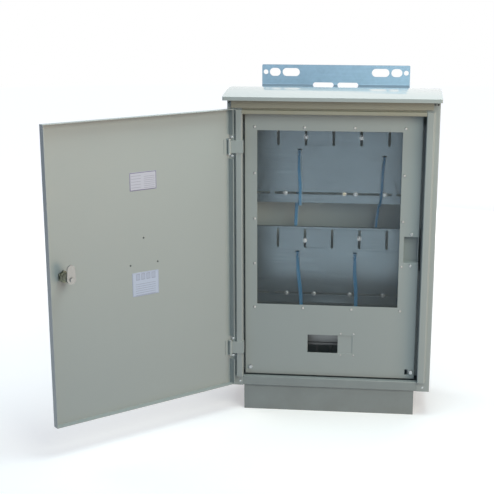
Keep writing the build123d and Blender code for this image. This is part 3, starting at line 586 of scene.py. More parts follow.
def washer(shape, origin, along, radius, thick, base=0.0):
    """Flat washer with broken edges."""
    edge = 0.18 * thick
    rings = [(0.0, base), (radius - edge, base), (radius, base + edge)]
    rings += [(radius, base + thick - edge), (radius - edge, base + thick), (0.0, base + thick)]
    shape.turned(origin, along, rings)


def threaded(shape, origin, along, radius, low, high, pitch):
    """Shank with thread crests and a chamfered end."""
    rings = [(0.0, low)]
    turns = max(int((high - low) / pitch), 1)
    for turn in range(turns):
        step = low + (high - low) * turn / turns
        rings += [(radius * 0.86, step), (radius, step + 0.5 * (high - low) / turns)]
    rings += [(radius * 0.8, high), (0.0, high)]
    shape.turned(origin, along, rings, 24)


# Settings
def colour_setting(name, thing, default):
    """Colour of a thing that a user may change."""
    words = {"name": name + " colour", "description": "Colour of " + thing}
    return FloatVectorProperty(**words, subtype="COLOR", default=default, min=0.0, max=1.0)


def length_setting(name, description, default, least):
    """Length that a user may change, with its least value."""
    return FloatProperty(
        name=name, description=description, unit="LENGTH", default=default, min=least
    )


def share_setting(name, description, default):
    """Share from 0 to 1 that a user may change."""
    return FloatProperty(
        name=name, description=description, subtype="FACTOR", default=default, min=0.0, max=1.0
    )


def power_setting(name, thing, default):
    """Power of a lamp that a user may change."""
    words = {"name": name + " power", "description": "Power of " + thing}
    return FloatProperty(**words, unit="POWER", default=default, min=0.0)


class CabinetPaint(bpy.types.PropertyGroup):
    """Powder coat of the sheets."""

    colour: colour_setting("Coat", "the powder coat", (0.345, 0.375, 0.365))
    tone_spread: share_setting(
        "Tone spread", "How far the coat's tone wanders to both sides", 0.05
    )
    roughness: share_setting("Roughness", "Mean roughness of the coat", 0.42)
    peel_size: length_setting(
        "Orange peel size", "Width of one dimple of the coat", 0.0022, 0.0002
    )
    peel_depth: length_setting(
        "Orange peel depth", "Depth of the dimples of the coat", 0.00006, 0.0
    )


class CabinetMetal(bpy.types.PropertyGroup):
    """Bare and plated metal."""

    # Blue of the bracket: zinc colour with a painted reflection of blue sky
    bracket_colour: colour_setting("Bracket", "the galvanised pole bracket", (0.27, 0.405, 0.54))
    plate_colour: colour_setting("Plate", "the galvanised meter plates", (0.125, 0.165, 0.195))
    spangle_size: length_setting("Spangle size", "Width of one zinc crystal", 0.007, 0.0005)
    bright_colour: colour_setting("Fastener", "the bright zinc plate", (0.52, 0.555, 0.58))
    rivet_colour: colour_setting("Rivet", "the blind rivets", (0.36, 0.37, 0.375))
    cam_colour: colour_setting("Cam", "the lock's cam", (0.235, 0.25, 0.26))
    barrel_colour: colour_setting("Barrel", "the lock's barrel and nut", (0.16, 0.17, 0.135))
    yellow_colour: colour_setting(
        "Yellow zinc", "the one bolt with a yellow finish", (0.6, 0.57, 0.45)
    )


class CabinetSmallParts(bpy.types.PropertyGroup):
    """Fasteners, pane, straps and labels."""

    thread_pitch: length_setting(
        "Thread pitch", "Distance between two crests of a meter bolt's thread", 0.0008, 0.0002
    )
    pane_colour: colour_setting("Pane", "the clear pane", (0.52, 0.62, 0.66))
    pane_haze: share_setting("Pane haze", "Share of light that the pane keeps back", 0.05)
    strap_colour: colour_setting("Strap", "the tie straps", (0.012, 0.17, 0.36))
    strap_fade: length_setting(
        "Strap fade", "Length over which a strap clears towards its upper end", 0.07, 0.001
    )
    # Pale colour of one welt on each upper strap: a painted highlight along the edge that faces
    # the light
    strap_edge_colour: colour_setting(
        "Strap edge", "a tie strap's welted edge", (0.34, 0.47, 0.56)
    )
    strap_width: length_setting("Strap width", "Width of a tie strap", 0.0074, 0.002)
    film_colour: colour_setting("Film", "the ground of the blank labels", (0.54, 0.54, 0.62))
    frame_colour: colour_setting("Frame", "the labels' frame and rules", (0.07, 0.06, 0.14))
    frame_inset: length_setting(
        "Frame inset", "Distance from a label's edge to its frame", 0.0008, 0.0
    )
    frame_line: length_setting("Frame line", "Width of a label's frame line", 0.0012, 0.0001)
    rule_line: length_setting("Rule line", "Width of a label's thin rules", 0.0005, 0.0001)


class CabinetStudio(bpy.types.PropertyGroup):
    """Lamps, surroundings, floor and camera."""

    key_power: power_setting("Key", "the large lamp before the cabinet on the right", 21.5)
    key_colour: colour_setting("Key", "the large lamp", (0.95, 1.0, 0.85))
    side_power: power_setting("Side", "the warm lamp low on the right", 22.5)
    side_colour: colour_setting("Side", "the warm lamp", (1.0, 0.7, 0.45))
    top_power: power_setting("Top", "the lamp above the roof", 19.0)
    top_colour: colour_setting("Top", "the lamp above the roof", (0.85, 1.0, 0.97))
    rear_power: power_setting("Rear", "each of the two lamps behind the cabinet", 26.0)
    rear_colour: colour_setting("Rear", "the lamps behind the cabinet", (1.0, 0.96, 0.86))
    sky_colour: colour_setting(
        "Surroundings", "the surroundings' light on the object", (0.18, 0.25, 0.38)
    )
    floor_radius: length_setting("Floor radius", "Radius of the pale floor", 9.0, 1.0)
    floor_glow: share_setting("Floor glow", "Light added to the floor where it is seen", 0.84)
    focal_length: FloatProperty(
        name="Focal length",
        description="Focal length of the camera",
        subtype="DISTANCE_CAMERA",
        default=85.41,
        min=10.0,
    )
    camera_place: FloatVectorProperty(
        name="Camera place",
        description="Place of the camera",
        subtype="XYZ",
        unit="LENGTH",
        default=(0.14189, -2.87637, 1.05988),
    )
    camera_turn: FloatVectorProperty(
        name="Camera turn",
        description="Turn to the left, tilt down and roll of the camera",
        subtype="EULER",
        unit="ROTATION",
        default=(radians(6.21), radians(15.72), radians(-0.10)),
    )


# Operators
class CABINET_OT_finishes(bpy.types.Operator):
    """Make the procedural finishes that the pieces wear"""

    bl_idname = "cabinet.finishes"
    bl_label = "Make finishes"

    def execute(self, context):
        metal = context.scene.cabinet_metal
        small = context.scene.cabinet_small_parts
        paint = context.scene.cabinet_paint
        bright = tuple(metal.bright_colour)
        powder_coat("powder_coat", paint)
        # Plinth and sill: the coat under a darker grey film at 0.4 all over
        powder_coat("base_coat", paint, (0.13, 0.15, 0.155), 0.4)
        # Header and drip strip under the roof: a warm brown film, painted shade of the roof's
        # overhang
        powder_coat("sheltered_coat", paint, (0.34, 0.30, 0.19), 0.6)
        powder_coat("roof_coat", paint, gloss=1.0)
        # Inside the case a dark film, full below 0.2 m and gone at 0.46 m, on faces in front of
        # the back wall's outer skin: painted shade of the closed cavity
        painted_shade_low, painted_shade_high, skin = 0.2, 0.46, 0.0007
        depth = (painted_shade_low, painted_shade_high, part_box("back_wall")[1].y - skin)
        powder_coat("interior_coat", paint, (0.05, 0.066, 0.078), 0.8, 0.0, depth)
        # Bracket: its blue is a painted reflection of blue sky on the zinc
        zinc_sheet("zinc_bracket", tuple(metal.bracket_colour), metal, 0.07, 0.4, dust=0.8)
        zinc_sheet("zinc_plate", tuple(metal.plate_colour), metal, 0.1, 1.3, 0.2)
        zinc_sheet("zinc_rail", shade_of(bright, 0.36), metal, 0.05, 0.4, 0.26)
        bright_zinc("bright_zinc", bright)
        bright_zinc("dull_zinc", shade_of(bright, 0.72), 0.22)
        bright_zinc("yellow_zinc", tuple(metal.yellow_colour))
        bright_zinc("dull_aluminium", tuple(metal.rivet_colour), 0.36)
        bright_zinc("cast_zinc", tuple(metal.cam_colour), 0.4)
        bright_zinc("aged_brass", tuple(metal.barrel_colour), 0.3)
        clear_pane(small)
        strap_plastic(small)
        # Pale welt finish: a painted highlight along one edge of the upper straps
        welt = tuple(small.strap_edge_colour)
        tones = shade_of(welt, 0.75), shade_of(welt, 1.15)
        mottled("strap_edge", welt, 120.0, *tones, 0.25, 0.15, {"IOR": 1.5})
        rubber("edging_rubber", (0.016, 0.016, 0.017), (0.05, 0.05, 0.052))
        rubber("grey_rubber", (0.07, 0.08, 0.08), (0.12, 0.13, 0.13))
        steel, tones = (0.05, 0.05, 0.055), ((0.03, 0.03, 0.033), (0.09, 0.088, 0.085))
        mottled("dark_bore", steel, 500.0, *tones, 0.3, 0.25, {"Metallic": 0.8})
        return {"FINISHED"}


class CABINET_OT_sheets(bpy.types.Operator):
    """Coat the painted sheets, the bare sheets and the pane"""

    bl_idname = "cabinet.sheets"
    bl_label = "Coat sheets"

    def execute(self, context):
        coated = ("side_wall", "front_cover", "lock_pocket", "blank_plate", "cover_rail")
        coated += ("door_leaf", "hinge_arm", "hinge_bracket")
        coat("powder_coat", *[name for name in nodes if name.startswith(coated)])
        coat("base_coat", *[name for name in nodes if name.startswith(("plinth", "front_sill"))])
        # Painted shade of the roof's overhang on the header and drip strip
        coat("sheltered_coat", "front_header", "drip_strip")
        # Painted shade of the closed cavity on the back wall and floor
        coat("interior_coat", "back_wall", "floor_panel")
        coat("roof_coat", "roof")
        plates = [name for name in nodes if name.startswith(("meter_plate", "plate_bracket"))]
        coat("zinc_plate", *plates)
        coat("zinc_rail", "module_rail", "rail_posts")
        # The bracket's blue is a painted reflection of blue sky
        coat("zinc_bracket", "pole_bracket")
        coat("cast_zinc", "lock_cam")
        coat("clear_pane", "window_pane")
        thin, thick = 0.0006, 0.0007
        broken_edges(thick, "roof", "module_rail", "rail_posts", *plates)
        broken_edges(thin, "plinth_front", "plinth_back", "back_wall", "drip_strip")
        broken_edges(thin, "front_cover", "front_sill")
        return {"FINISHED"}


class CABINET_OT_rivets(bpy.types.Operator):
    """Set domed blind rivets round the window and on the blanking plate"""

    bl_idname = "cabinet.rivets"
    bl_label = "Set rivets"

    dome = [(1.0, 0.0), (1.0, 0.14), (0.95, 0.34), (0.84, 0.6), (0.66, 0.84), (0.46, 0.97)]
    dome += [(0.34, 1.0), (0.3, 0.95), (0.28, 0.6), (0.26, 0.55), (0.2, 0.62), (0.0, 0.66)]

    def execute(self, context):
        for node in ("window_rivets", "blank_plate_rivets"):
            heads(node, "_domed", "dull_aluminium", self.rivet)
        return {"FINISHED"}

    def rivet(self, shape, low, high):
        """One rivet's dome with its hollow middle."""
        origin, radius, height = seat(low, high)
        shape.turned(origin, front, scaled_rings(self.dome, radius, height), 36)


class CABINET_OT_screws(bpy.types.Operator):
    """Drive the pan head screws of the hinges, the lock pocket and the frame"""

    bl_idname = "cabinet.screws"
    bl_label = "Drive screws"

    def execute(self, context):
        for node in ("pocket_screws", "frame_screws", "hinge_screws_upper", "hinge_screws_lower"):
            finish = "bright_zinc" if node.startswith("hinge") else "dull_zinc"
            heads(node, "_recessed", finish, self.screw)
        return {"FINISHED"}

    @staticmethod
    def screw(shape, low, high):
        """One pan head."""
        origin, radius, height = seat(low, high)
        pan_head(shape, origin, front, radius, height)


class CABINET_OT_seal_screws(bpy.types.Operator):
    """Fit the two knobs that hold the sealed cover, with a waist and a slot"""

    bl_idname = "cabinet.seal_screws"
    bl_label = "Fit sealing screws"

    profile = [(0.98, 0.0), (1.0, 0.05), (1.0, 0.2), (0.93, 0.27), (0.74, 0.3), (0.7, 0.34)]
    profile += [(0.7, 0.46), (0.74, 0.5), (0.9, 0.52), (0.94, 0.57), (0.94, 0.86), (0.88, 0.95)]
    profile += [(0.76, 1.0), (0.6, 1.0), (0.45, 1.0), (0.3, 1.0), (0.15, 1.0), (0.0, 1.0)]

    def execute(self, context):
        shape = Shape()
        for low, high in islands("seal_screws"):
            origin, _, height = seat(low, high)
            radius = (high.z - low.z) / 2
            slot = slot_recess(0.14 * radius, 0.2 * height)
            shape.turned(origin, front, scaled_rings(self.profile, radius, height), 64, slot)
        shape.object("seal_screw_knobs", "cabinet", "dull_zinc", ["seal_screws"])
        return {"FINISHED"}


class CABINET_OT_meter_bolts(bpy.types.Operator):
    """Clamp the meter bolts in their slots, with washers, threads and square nuts"""

    bl_idname = "cabinet.meter_bolts"
    bl_label = "Clamp meter bolts"

    # Where along X the one bolt with a yellow finish is
    yellow_x = 0.018

    def execute(self, context):
        pitch = context.scene.cabinet_small_parts.thread_pitch
        for plate in ("upper", "lower"):
            node = "meter_bolts_" + plate
            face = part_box("meter_plate_" + plate)[0].y
            boxes = islands(node)
            odd = min(boxes, key=lambda box: abs(box[0].x - self.yellow_x))
            shape = Shape()
            for box in boxes:
                if plate == "lower" or box is not odd:
                    self.bolt(shape, *box, face, pitch)
            finish = ["dull_zinc", "bright_zinc"]
            shape.object(node + "_assembled", "cabinet", finish, [node])
            if plate == "upper":
                shape = Shape()
                self.bolt(shape, *odd, face, pitch)
                finish = ["dull_zinc", "yellow_zinc"]
                shape.object("meter_bolt_yellow", "cabinet", finish)
        return {"FINISHED"}

    @staticmethod
    def bolt(shape, low, high, face, pitch):
        """One bolt: flat washer, spring washer, pan head, shank and square nut."""
        origin = centred(low, high, face)
        radius = (high.x - low.x) / 2
        stack = face - low.y
        flat, spring, head = 0.22 * stack, 0.14 * stack, 0.62 * stack
        plate, nut_half, nut_height, shank = 0.002, 0.005, 0.004, 0.0022
        washer(shape, origin, front, radius, flat)
        washer(shape, origin, front, 0.76 * radius, spring, flat)
        pan_head(shape, origin, front, 0.74 * radius, head, 0.36 * stack, 32, None, 1)
        rear = centred(low, high, face + plate)
        chamfered_nut(shape, rear, -front, nut_half, nut_height, 4)
        threaded(shape, origin, -front, shank, 0.0, high.y - face, pitch)


class CABINET_OT_bracket_bolts(bpy.types.Operator):
    """Fit the three hexagon bolts of the pole bracket"""

    bl_idname = "cabinet.bracket_bolts"
    bl_label = "Fit bracket bolts"

    def execute(self, context):
        head, disc, nut, shank, pitch = 0.005, 0.0012, 0.006, 0.004, 0.00125
        shape = Shape()
        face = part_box("back_wall")[1].y
        for low, high in islands("bracket_bolts"):
            origin = centred(low, high, face)
            half_width = (high.z - low.z) / 2 * cos(pi / 6)
            under = high.y - face - head
            washer(shape, origin, -front, half_width * 1.04, disc, under)
            chamfered_nut(shape, origin, -front, half_width, head - disc, 6, under + disc)
            inner = centred(low, high, face - sheet)
            chamfered_nut(shape, inner, front, half_width, nut, 6)
            threaded(shape, inner, front, shank, -shank, inner.y - low.y, pitch)
        shape.object("bracket_bolts_hex", "cabinet", "bright_zinc", ["bracket_bolts"])
        return {"FINISHED"}


class CABINET_OT_hinge_pins(bpy.types.Operator):
    """Drop the domed pins into both hinges"""

    bl_idname = "cabinet.hinge_pins"
    bl_label = "Fit hinge pins"

    def execute(self, context):
        for side in ("upper", "lower"):
            node = "hinge_pin_" + side
            low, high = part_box(node)
            origin = Vector(((low.x + high.x) / 2, (low.y + high.y) / 2, low.z))
            length, radius = high.z - low.z, (high.x - low.x) / 2
            shank, collar = 0.0025, 0.0015
            rings = [(0.0, 0.0), (0.6 * radius, 0.0), (0.9 * radius, 0.0004)]
            rings += [(0.97 * radius, 0.0010), (0.97 * radius, collar), (shank, collar)]
            rings += [(shank, length - collar), (radius, length - collar)]
            rings += [(radius, length - 0.0008), (0.86 * radius, length - 0.0003)]
            rings += [(0.55 * radius, length), (0.0, length)]
            shape = Shape()
            shape.turned(origin, up, rings, 40)
            shape.object(node + "_domed", "door", "bright_zinc", [node])
        return {"FINISHED"}


class CABINET_OT_lock(bpy.types.Operator):
    """Fit the lock barrel with its key bore, the nut with its collar, and the cam's screw"""

    bl_idname = "cabinet.lock"
    bl_label = "Fit lock"

    def execute(self, context):
        self.barrel()
        self.nut()
        self.cam_screw()
        return {"FINISHED"}

    @staticmethod
    def barrel():
        """Threaded barrel with a rosette, and a three-sided spindle in its bore."""
        outer, length = inward_seat("lock_barrel")
        bore, rosette, radius, spindle = 0.0055, 0.013, 0.0095, 0.0032
        rings = [(bore * 0.99, 0.0075), (bore, 0.0004), (bore + 0.0005, 0.0)]
        rings += [(rosette - 0.0022, 0.0), (rosette - 0.0007, 0.0005), (rosette, 0.0016)]
        rings += [(rosette, 0.0025), (radius, 0.0025), (radius, 0.006)]
        thread_start, thread_end, pitch = 0.008, length - 0.004, 0.0012
        root = radius * 0.955
        for turn in range(int((thread_end - thread_start) / pitch)):
            step = thread_start + turn * pitch
            rings += [(root, step), (radius, step + 0.5 * pitch)]
        rings += [(root, thread_end), (radius * 0.94, length - 0.001)]
        rings += [(radius * 0.86, length), (0.0, length)]
        shape = Shape()
        shape.turned(outer, inward, rings, 56)
        flat = spindle * 0.62
        rings = [(0.0, 0.002), (spindle, 0.002, 3, flat), (spindle, 0.0085, 3, flat)]
        rings += [(bore * 0.99, 0.0085), (0.0, 0.0086)]
        shape.turned(outer, inward, rings, 36, slot=1)
        finish = ["aged_brass", "dark_bore"]
        shape.object("lock_barrel_threaded", "door", finish, ["lock_barrel"])

    @staticmethod
    def nut():
        """Hexagon nut on a washer, with a ridged collar."""
        base, length = inward_seat("lock_nut")
        flat, collar, disc, nut = 0.0145 * cos(pi / 6), 0.0112, 0.001, 0.006
        shape = Shape()
        washer(shape, base, inward, 0.0144, disc)
        chamfered_nut(shape, base, inward, flat, nut, 6, disc)
        rings = [(0.0, 0.007), (collar - 0.0005, 0.007), (collar, 0.0075)]
        groove, first, pitch = collar - 0.0004, 0.0082, 0.0011
        for notch in range(5):
            step = first + notch * pitch
            rings += [(collar, step), (groove, step + 0.00025)]
            rings += [(groove, step + 0.0006), (collar, step + 0.0008)]
        rings += [(collar, length - 0.0004), (collar - 0.0006, length), (0.0, length)]
        shape.turned(base, inward, rings, 56)
        shape.object("lock_nut_turned", "door", "aged_brass", ["lock_nut"])

    @staticmethod
    def cam_screw():
        """Hexagon screw that holds the cam, on a washer."""
        base, length = inward_seat("cam_screw")
        low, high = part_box("cam_screw")
        half_width, disc = (high.z - low.z) / 2 * cos(pi / 6), 0.0008
        shape = Shape()
        washer(shape, base, inward, half_width * 1.1, disc)
        chamfered_nut(shape, base, inward, half_width * 0.94, length - disc, 6, disc)
        shape.object("cam_screw_hex", "lock_cam", "cast_zinc", ["cam_screw"])


class CABINET_OT_straps(bpy.types.Operator):
    """Thread the blue tie straps through the meter plates"""

    bl_idname = "cabinet.straps"
    bl_label = "Thread straps"

    def execute(self, context):
        half = context.scene.cabinet_small_parts.strap_width / 2
        bead, thick, spreading, level, slope = 0.0006, 0.0003, 0.25, 0.012, 0.04
        edge = half - 2 * bead
        band = [(-edge, -thick), (edge, -thick), (edge, thick), (-edge, thick)]
        ring = [radians(angle) for angle in range(0, 360, 45)]
        for node in sorted(name for name in nodes if name.startswith("tie_strap_")):
            stations = self.route(node)
            heights = [point.z for point, _, _ in stations]
            top = max(heights)
            spread = 0.0 if node.endswith("upper_right") else spreading
            widths = []
            for height in heights:
                share = min(max((top - height - level) / slope, 0.0), 1.0)
                widths.append(1 + spread * share)
            shape = Shape()
            shape.swept(stations, band, widths=widths)
            # One welt of each upper strap wears the pale finish: a painted highlight along that
            # edge
            pale = {"tie_strap_upper_left": 1, "tie_strap_upper_right": -1}.get(node)
            for sign in (-1, 1):
                welt = [(sign * (half - bead) + bead * cos(a), bead * sin(a)) for a in ring]
                shape.swept(stations, welt, 1 if sign == pale else 0, widths=widths)
            finish = ["strap_plastic", "strap_edge"]
            shape.object(node + "_ribbon", "cabinet", finish, [node], 50.0)
        return {"FINISHED"}

    @staticmethod
    def route(node):
        """Stations of a strap: front tail, bend over the slot's edge, rear tail."""
        points = [vertex.co.copy() for vertex in nodes[node].data.vertices]
        near, far = min(p.y for p in points), max(p.y for p in points)
        tails = []
        for depth in (near, far):
            level = [p for p in points if abs(p.y - depth) < 0.002]
            low, high = min(p.z for p in level), max(p.z for p in level)
            crown = [p for p in level if high - p.z < 0.003]
            foot = [p for p in level if p.z - low < 0.003]
            for group in (crown, foot):
                middle = [sum(p[i] for p in group) / len(group) for i in range(3)]
                tails.append(Vector(middle))
        front_top, front_foot, rear_top, rear_foot = tails
        steps, hooked, hook = 26, 0.12, 0.004
        fold, rear_fold = radians(26.0), radians(-18.0)
        bow, sway, crest, rear_bow, rear_sway = 0.0016, 0.0012, 0.0008, 0.001, 0.0016
        route = []
        for step in range(steps + 1):
            share = step / steps
            point = front_foot.lerp(front_top, share)
            point.y -= bow * sin(pi * share)
            point.x += sway * sin(2 * pi * share) * sin(pi * share)
            if node.endswith("upper_right") and share < hooked:
                point.x -= hook * (hooked - share) / hooked
            route.append((point, fold * (1 - share) ** 3))
        for share in (0.25, 0.5, 0.75):
            point = front_top.lerp(rear_top, share)
            point.z += crest * sin(pi * share)
            route.append((point, 0.0))
        for step in range(steps + 1):
            share = step / steps
            point = rear_top.lerp(rear_foot, share)
            point.y += rear_bow * sin(pi * share)
            point.x += rear_sway * sin(2 * pi * share)
            route.append((point, rear_fold * share ** 2))
        stations = []
        for index, (point, turn) in enumerate(route):
            before = route[max(index - 1, 0)][0]
            after = route[min(index + 1, len(route) - 1)][0]
            along = (after - before).normalized()
            across = Vector((1, 0, 0))
            across = (across - along * across.dot(along)).normalized()
            across = Matrix.Rotation(turn, 3, along) @ across
            stations.append((point, across, along.cross(across).normalized()))
        return stations


class CABINET_OT_labels(bpy.types.Operator):
    """Stick the two blank labels on the inside of the door"""

    bl_idname = "cabinet.labels"
    bl_label = "Stick labels"

    # Ruled bands (low, high, pitch, left, right), boxes (x, z, half width), frame and tint
    columns = [(-0.0205, 0.014, 0.0066, -0.032, -0.006), (-0.0205, 0.014, 0.0043, 0.002, 0.031)]
    rows = [(-0.026, 0.002, 0.0052, -0.027, 0.027)]
    boxes = [(x, 0.0175, 0.0052) for x in (-0.0205, -0.0065, 0.0075, 0.0215)]
    prints = {
        "label_upper": (columns, [], 1.0, (1.0, 1.0, 1.0)),
        "label_lower": (rows, boxes, 0.25, (0.94, 1.04, 1.12)),
    }

    def execute(self, context):
        small = context.scene.cabinet_small_parts
        turn = Matrix((across_door, inward, up)).transposed().to_4x4()
        for node, blank in self.prints.items():
            low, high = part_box(node)
            left, right = span(node, across_door)
            rear, face = span(node, inward)
            width, height = right - left, high.z - low.z
            finish = node + "_film"
            printed_film(finish, small, (width, height), *blank)
            shape = Shape()
            self.film(shape, width, height, face - rear)
            place = Matrix.Translation((low + high) / 2) @ turn
            shape.object(node + "_sheet", "door", finish, [node], 60.0, place)
        return {"FINISHED"}

    @staticmethod
    def film(shape, width, height, thick):
        """Thin sheet with rounded corners and a slightly pressed rim, in its own frame."""
        corner, least = 0.0016, 0.0004
        rim = [(0.0, -0.5), (0.0, 0.2), (0.0002, 0.5), (0.0012, 0.42), (0.003, 0.5)]
        loops = []
        for inset, level in rim:
            radius = max(corner - inset, least)
            loop = []
            for x, z, angle in rounded(width / 2 - inset, height / 2 - inset, radius, 5):
                point = (x + radius * cos(angle), level * thick, z + radius * sin(angle))
                loop.append(shape.mesh.verts.new(point))
            loops.append(loop)
        shape.skin(loops)


class CABINET_OT_marks(bpy.types.Operator):
    """Fill the three shallow marks on the inside of the door with dark plugs"""

    bl_idname = "cabinet.marks"
    bl_label = "Fill door marks"

    sunk = 0.0007
    places = [(0.0025, 0.0627), (0.0394, 0.0017), (-0.0344, 0.0017)]
    plug = [(0.0, 0.0), (0.0021, 0.0), (0.0023, 0.0003), (0.0022, 0.0006)]
    plug += [(0.0018, 0.0008), (0.001, 0.0009), (0.0, 0.0009)]

    def execute(self, context):
        low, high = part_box("door_leaf")
        skin = span("door_leaf", inward)[0] + sheet
        middle = sum(span("door_leaf", across_door)) / 2
        centre = inward * skin + across_door * middle + up * ((low.z + high.z) / 2)
        shape = Shape()
        for offset, height in self.places:
            base = centre + across_door * offset + up * height - inward * self.sunk
            shape.turned(base, inward, self.plug, 32)
        shape.object("door_mark_plugs", "door", "grey_rubber")
        return {"FINISHED"}


class CABINET_OT_edging(bpy.types.Operator):
    """Press the rubber edging round the cable opening"""

    bl_idname = "cabinet.edging"
    bl_label = "Press edging"

    def execute(self, context):
        low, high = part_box("cable_edging")
        floor_low, floor_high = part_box("floor_panel")
        middle = (low + high) / 2
        half_x, half_y = (high.x - low.x) / 2, (high.y - low.y) / 2
        corner, wall, lip, thick, groove, clear = 0.012, 0.003, 0.005, 0.0018, 0.0002, 0.0003
        top, bottom = floor_high.z - middle.z, floor_low.z - middle.z
        section = [(-wall, bottom - 0.001), (-wall, top + 0.001), (-wall * 0.7, top + thick)]
        section += [(lip * 0.8, top + thick), (lip, top + thick * 0.5), (lip, top + clear)]
        section += [(groove, top + clear), (groove, bottom - clear), (lip, bottom - clear)]
        section += [(lip, bottom - thick * 0.5), (lip * 0.8, bottom - thick)]
        section += [(-wall * 0.7, bottom - thick)]
        stations = []
        for x, y, angle in rounded(half_x, half_y, corner, 8):
            out = Vector((cos(angle), sin(angle), 0))
            stations.append((middle + Vector((x, y, 0)) + out * corner, out, up))
        shape = Shape()
        shape.swept(stations, section, closed=True)
        finish = "edging_rubber"
        shape.object("cable_edging_profile", "cabinet", finish, ["cable_edging"])
        return {"FINISHED"}


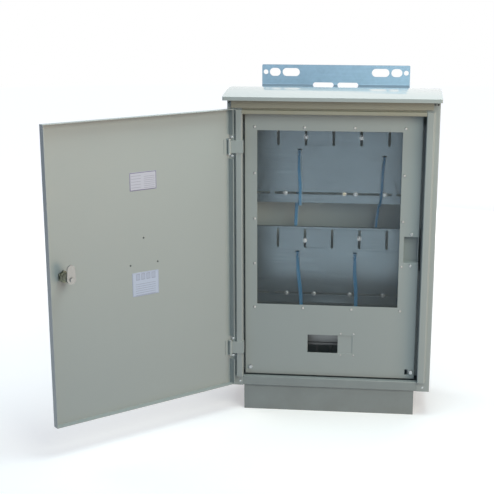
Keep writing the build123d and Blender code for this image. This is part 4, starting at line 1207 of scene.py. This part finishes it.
class CABINET_OT_studio(bpy.types.Operator):
    """Set the pale floor, the lamps, the surroundings and the camera"""

    bl_idname = "cabinet.studio"
    bl_label = "Set studio"

    # Place and width of each lamp, and the settings that hold its power and colour
    lamps = {
        "key_lamp": ((0.95, -1.75, 1.5), 1.4, "key"),
        "side_lamp": ((2.0, -1.5, 0.3), 1.2, "side"),
        "top_lamp": ((0.1, -0.25, 1.9), 1.0, "top"),
        "rear_lamp": ((0.9, 2.3, 0.9), 1.6, "rear"),
        "left_lamp": ((-2.2, 1.0, 0.9), 1.6, "rear"),
    }
    mirrored_lamps = ("key_lamp", "side_lamp")
    aim = Vector((0.0, -0.15, 0.45))
    floor_colour = (0.8, 0.8, 0.8)
    floor_shade = (0.1, 0.15, 0.2)
    far_glow = (1.0, 0.965, 0.91)
    near_glow = (0.34, 0.31, 0.29)
    near_reach, glow_rise = 1.3, 1.7
    sensor_width, camera_shift = 36.0, (-0.0366, 0.1151)
    clip_start, clip_end = 0.05, 60.0

    def execute(self, context):
        scene = context.scene
        scene.view_settings.view_transform = "Standard"
        self.surroundings(scene, scene.cabinet_studio)
        self.floor(scene, scene.cabinet_studio)
        for name in self.lamps:
            self.lamp(scene, scene.cabinet_studio, name)
        self.camera(scene, scene.cabinet_studio)
        return {"FINISHED"}

    def lamp(self, scene, options, name):
        """Round soft lamp that faces the cabinet."""
        place, size, kind = self.lamps[name]
        data = bpy.data.lights.new(name, "AREA")
        data.shape = "DISK"
        data.size = size
        data.energy = getattr(options, kind + "_power")
        data.color = tuple(getattr(options, kind + "_colour"))
        lamp = bpy.data.objects.new(name, data)
        lamp.location = place
        lamp.rotation_euler = (self.aim - Vector(place)).to_track_quat("-Z", "Y").to_euler()
        lamp.visible_glossy = name in self.mirrored_lamps
        scene.collection.objects.link(lamp)

    @staticmethod
    def ray(shader, kind):
        """1 for one kind of ray."""
        return shader.node("ShaderNodeLightPath", {}, {}, "Is " + kind + " Ray")

    def seen(self, shader):
        """1 for rays that show the background: direct, in gloss and through the pane."""
        rays = self.ray(shader, "Camera") + self.ray(shader, "Glossy")
        return (rays + self.ray(shader, "Transmission")).clamped()

    def surroundings(self, scene, options):
        """Soft sky for light, plain white where it is seen."""
        world = bpy.data.worlds.new("surroundings")
        scene.world = world
        shader = Shader(world)
        colour = shader.blend(self.seen(shader), tuple(options.sky_colour), white)
        sky = shader.node("ShaderNodeBackground", {}, {0: colour, 1: 1.0})
        shader.node("ShaderNodeOutputWorld", {}, {0: sky})

    def floor(self, scene, options):
        """Pale round floor that keeps the object's shadow and grows white further off."""
        mesh = bmesh.new()
        bmesh.ops.create_circle(mesh, cap_ends=True, segments=96, radius=options.floor_radius)
        data = bpy.data.meshes.new("studio_floor")
        mesh.to_mesh(data)
        mesh.free()
        floor = bpy.data.objects.new("studio_floor", data)
        scene.collection.objects.link(floor)
        shader = material("studio_floor", self.floor_colour)
        seen = self.seen(shader)
        colour = shader.blend(seen, self.floor_shade, self.floor_colour)
        mirrored = shader.blend(seen, black, self.far_glow)
        length = {"operation": "LENGTH"}
        reach = shader.node("ShaderNodeVectorMath", length, {0: shader.place()}, 1)
        away = ((reach - self.near_reach) / self.glow_rise).clamped()
        direct = shader.blend(away, self.near_glow, self.far_glow)
        glow = shader.blend(self.ray(shader, "Camera"), mirrored, direct)
        others = {"Specular IOR Level": 0.0, "Emission Color": glow}
        shader.surface(colour, 1.0, None, {**others, "Emission Strength": options.floor_glow})
        data.materials.append(finishes["studio_floor"])

    def camera(self, scene, options):
        """Camera at the photograph's place, turn and framing."""
        left, down, roll = options.camera_turn
        ahead = Vector((-sin(left) * cos(down), cos(left) * cos(down), -sin(down)))
        side = ahead.cross(up).normalized()
        rise = side.cross(ahead)
        level = side * cos(roll) - rise * sin(roll)
        rise = side * sin(roll) + rise * cos(roll)
        data = bpy.data.cameras.new("studio_camera")
        data.lens = options.focal_length
        data.sensor_width = self.sensor_width
        data.shift_x, data.shift_y = self.camera_shift
        data.clip_start, data.clip_end = self.clip_start, self.clip_end
        camera = bpy.data.objects.new("studio_camera", data)
        turn = Matrix((level, rise, -ahead)).transposed().to_4x4()
        camera.matrix_world = Matrix.Translation(options.camera_place) @ turn
        scene.collection.objects.link(camera)
        scene.camera = camera


operators = (
    CABINET_OT_finishes,
    CABINET_OT_sheets,
    CABINET_OT_rivets,
    CABINET_OT_screws,
    CABINET_OT_seal_screws,
    CABINET_OT_meter_bolts,
    CABINET_OT_bracket_bolts,
    CABINET_OT_hinge_pins,
    CABINET_OT_lock,
    CABINET_OT_straps,
    CABINET_OT_labels,
    CABINET_OT_marks,
    CABINET_OT_edging,
    CABINET_OT_studio,
)


class CABINET_PT_panel(bpy.types.Panel):
    """Sizes, colours and steps of the cabinet's finish"""

    bl_label = "Meter cabinet"
    bl_space_type = "VIEW_3D"
    bl_region_type = "UI"
    bl_category = "Cabinet"

    def draw(self, context):
        for key in settings:
            box = self.layout.box()
            group = getattr(context.scene, key)
            for name in group.bl_rna.properties.keys():
                if name not in ("rna_type", "name"):
                    box.prop(group, name)
        for operator in operators:
            self.layout.operator(operator.bl_idname)


settings = {
    "cabinet_paint": CabinetPaint,
    "cabinet_metal": CabinetMetal,
    "cabinet_small_parts": CabinetSmallParts,
    "cabinet_studio": CabinetStudio,
}


def register():
    """Registers settings, operators and the panel."""
    for key, group in settings.items():
        bpy.utils.register_class(group)
        setattr(bpy.types.Scene, key, PointerProperty(type=group))
    for kind in (*operators, CABINET_PT_panel):
        bpy.utils.register_class(kind)


def unregister():
    """Removes what register added."""
    for kind in reversed((*operators, CABINET_PT_panel)):
        bpy.utils.unregister_class(kind)
    for key, group in settings.items():
        delattr(bpy.types.Scene, key)
        bpy.utils.unregister_class(group)


def main():
    """Dresses the cabinet."""
    register()
    for operator in operators:
        family, name = operator.bl_idname.split(".")
        getattr(getattr(bpy.ops, family), name)()


if __name__ == "__main__":
    main()
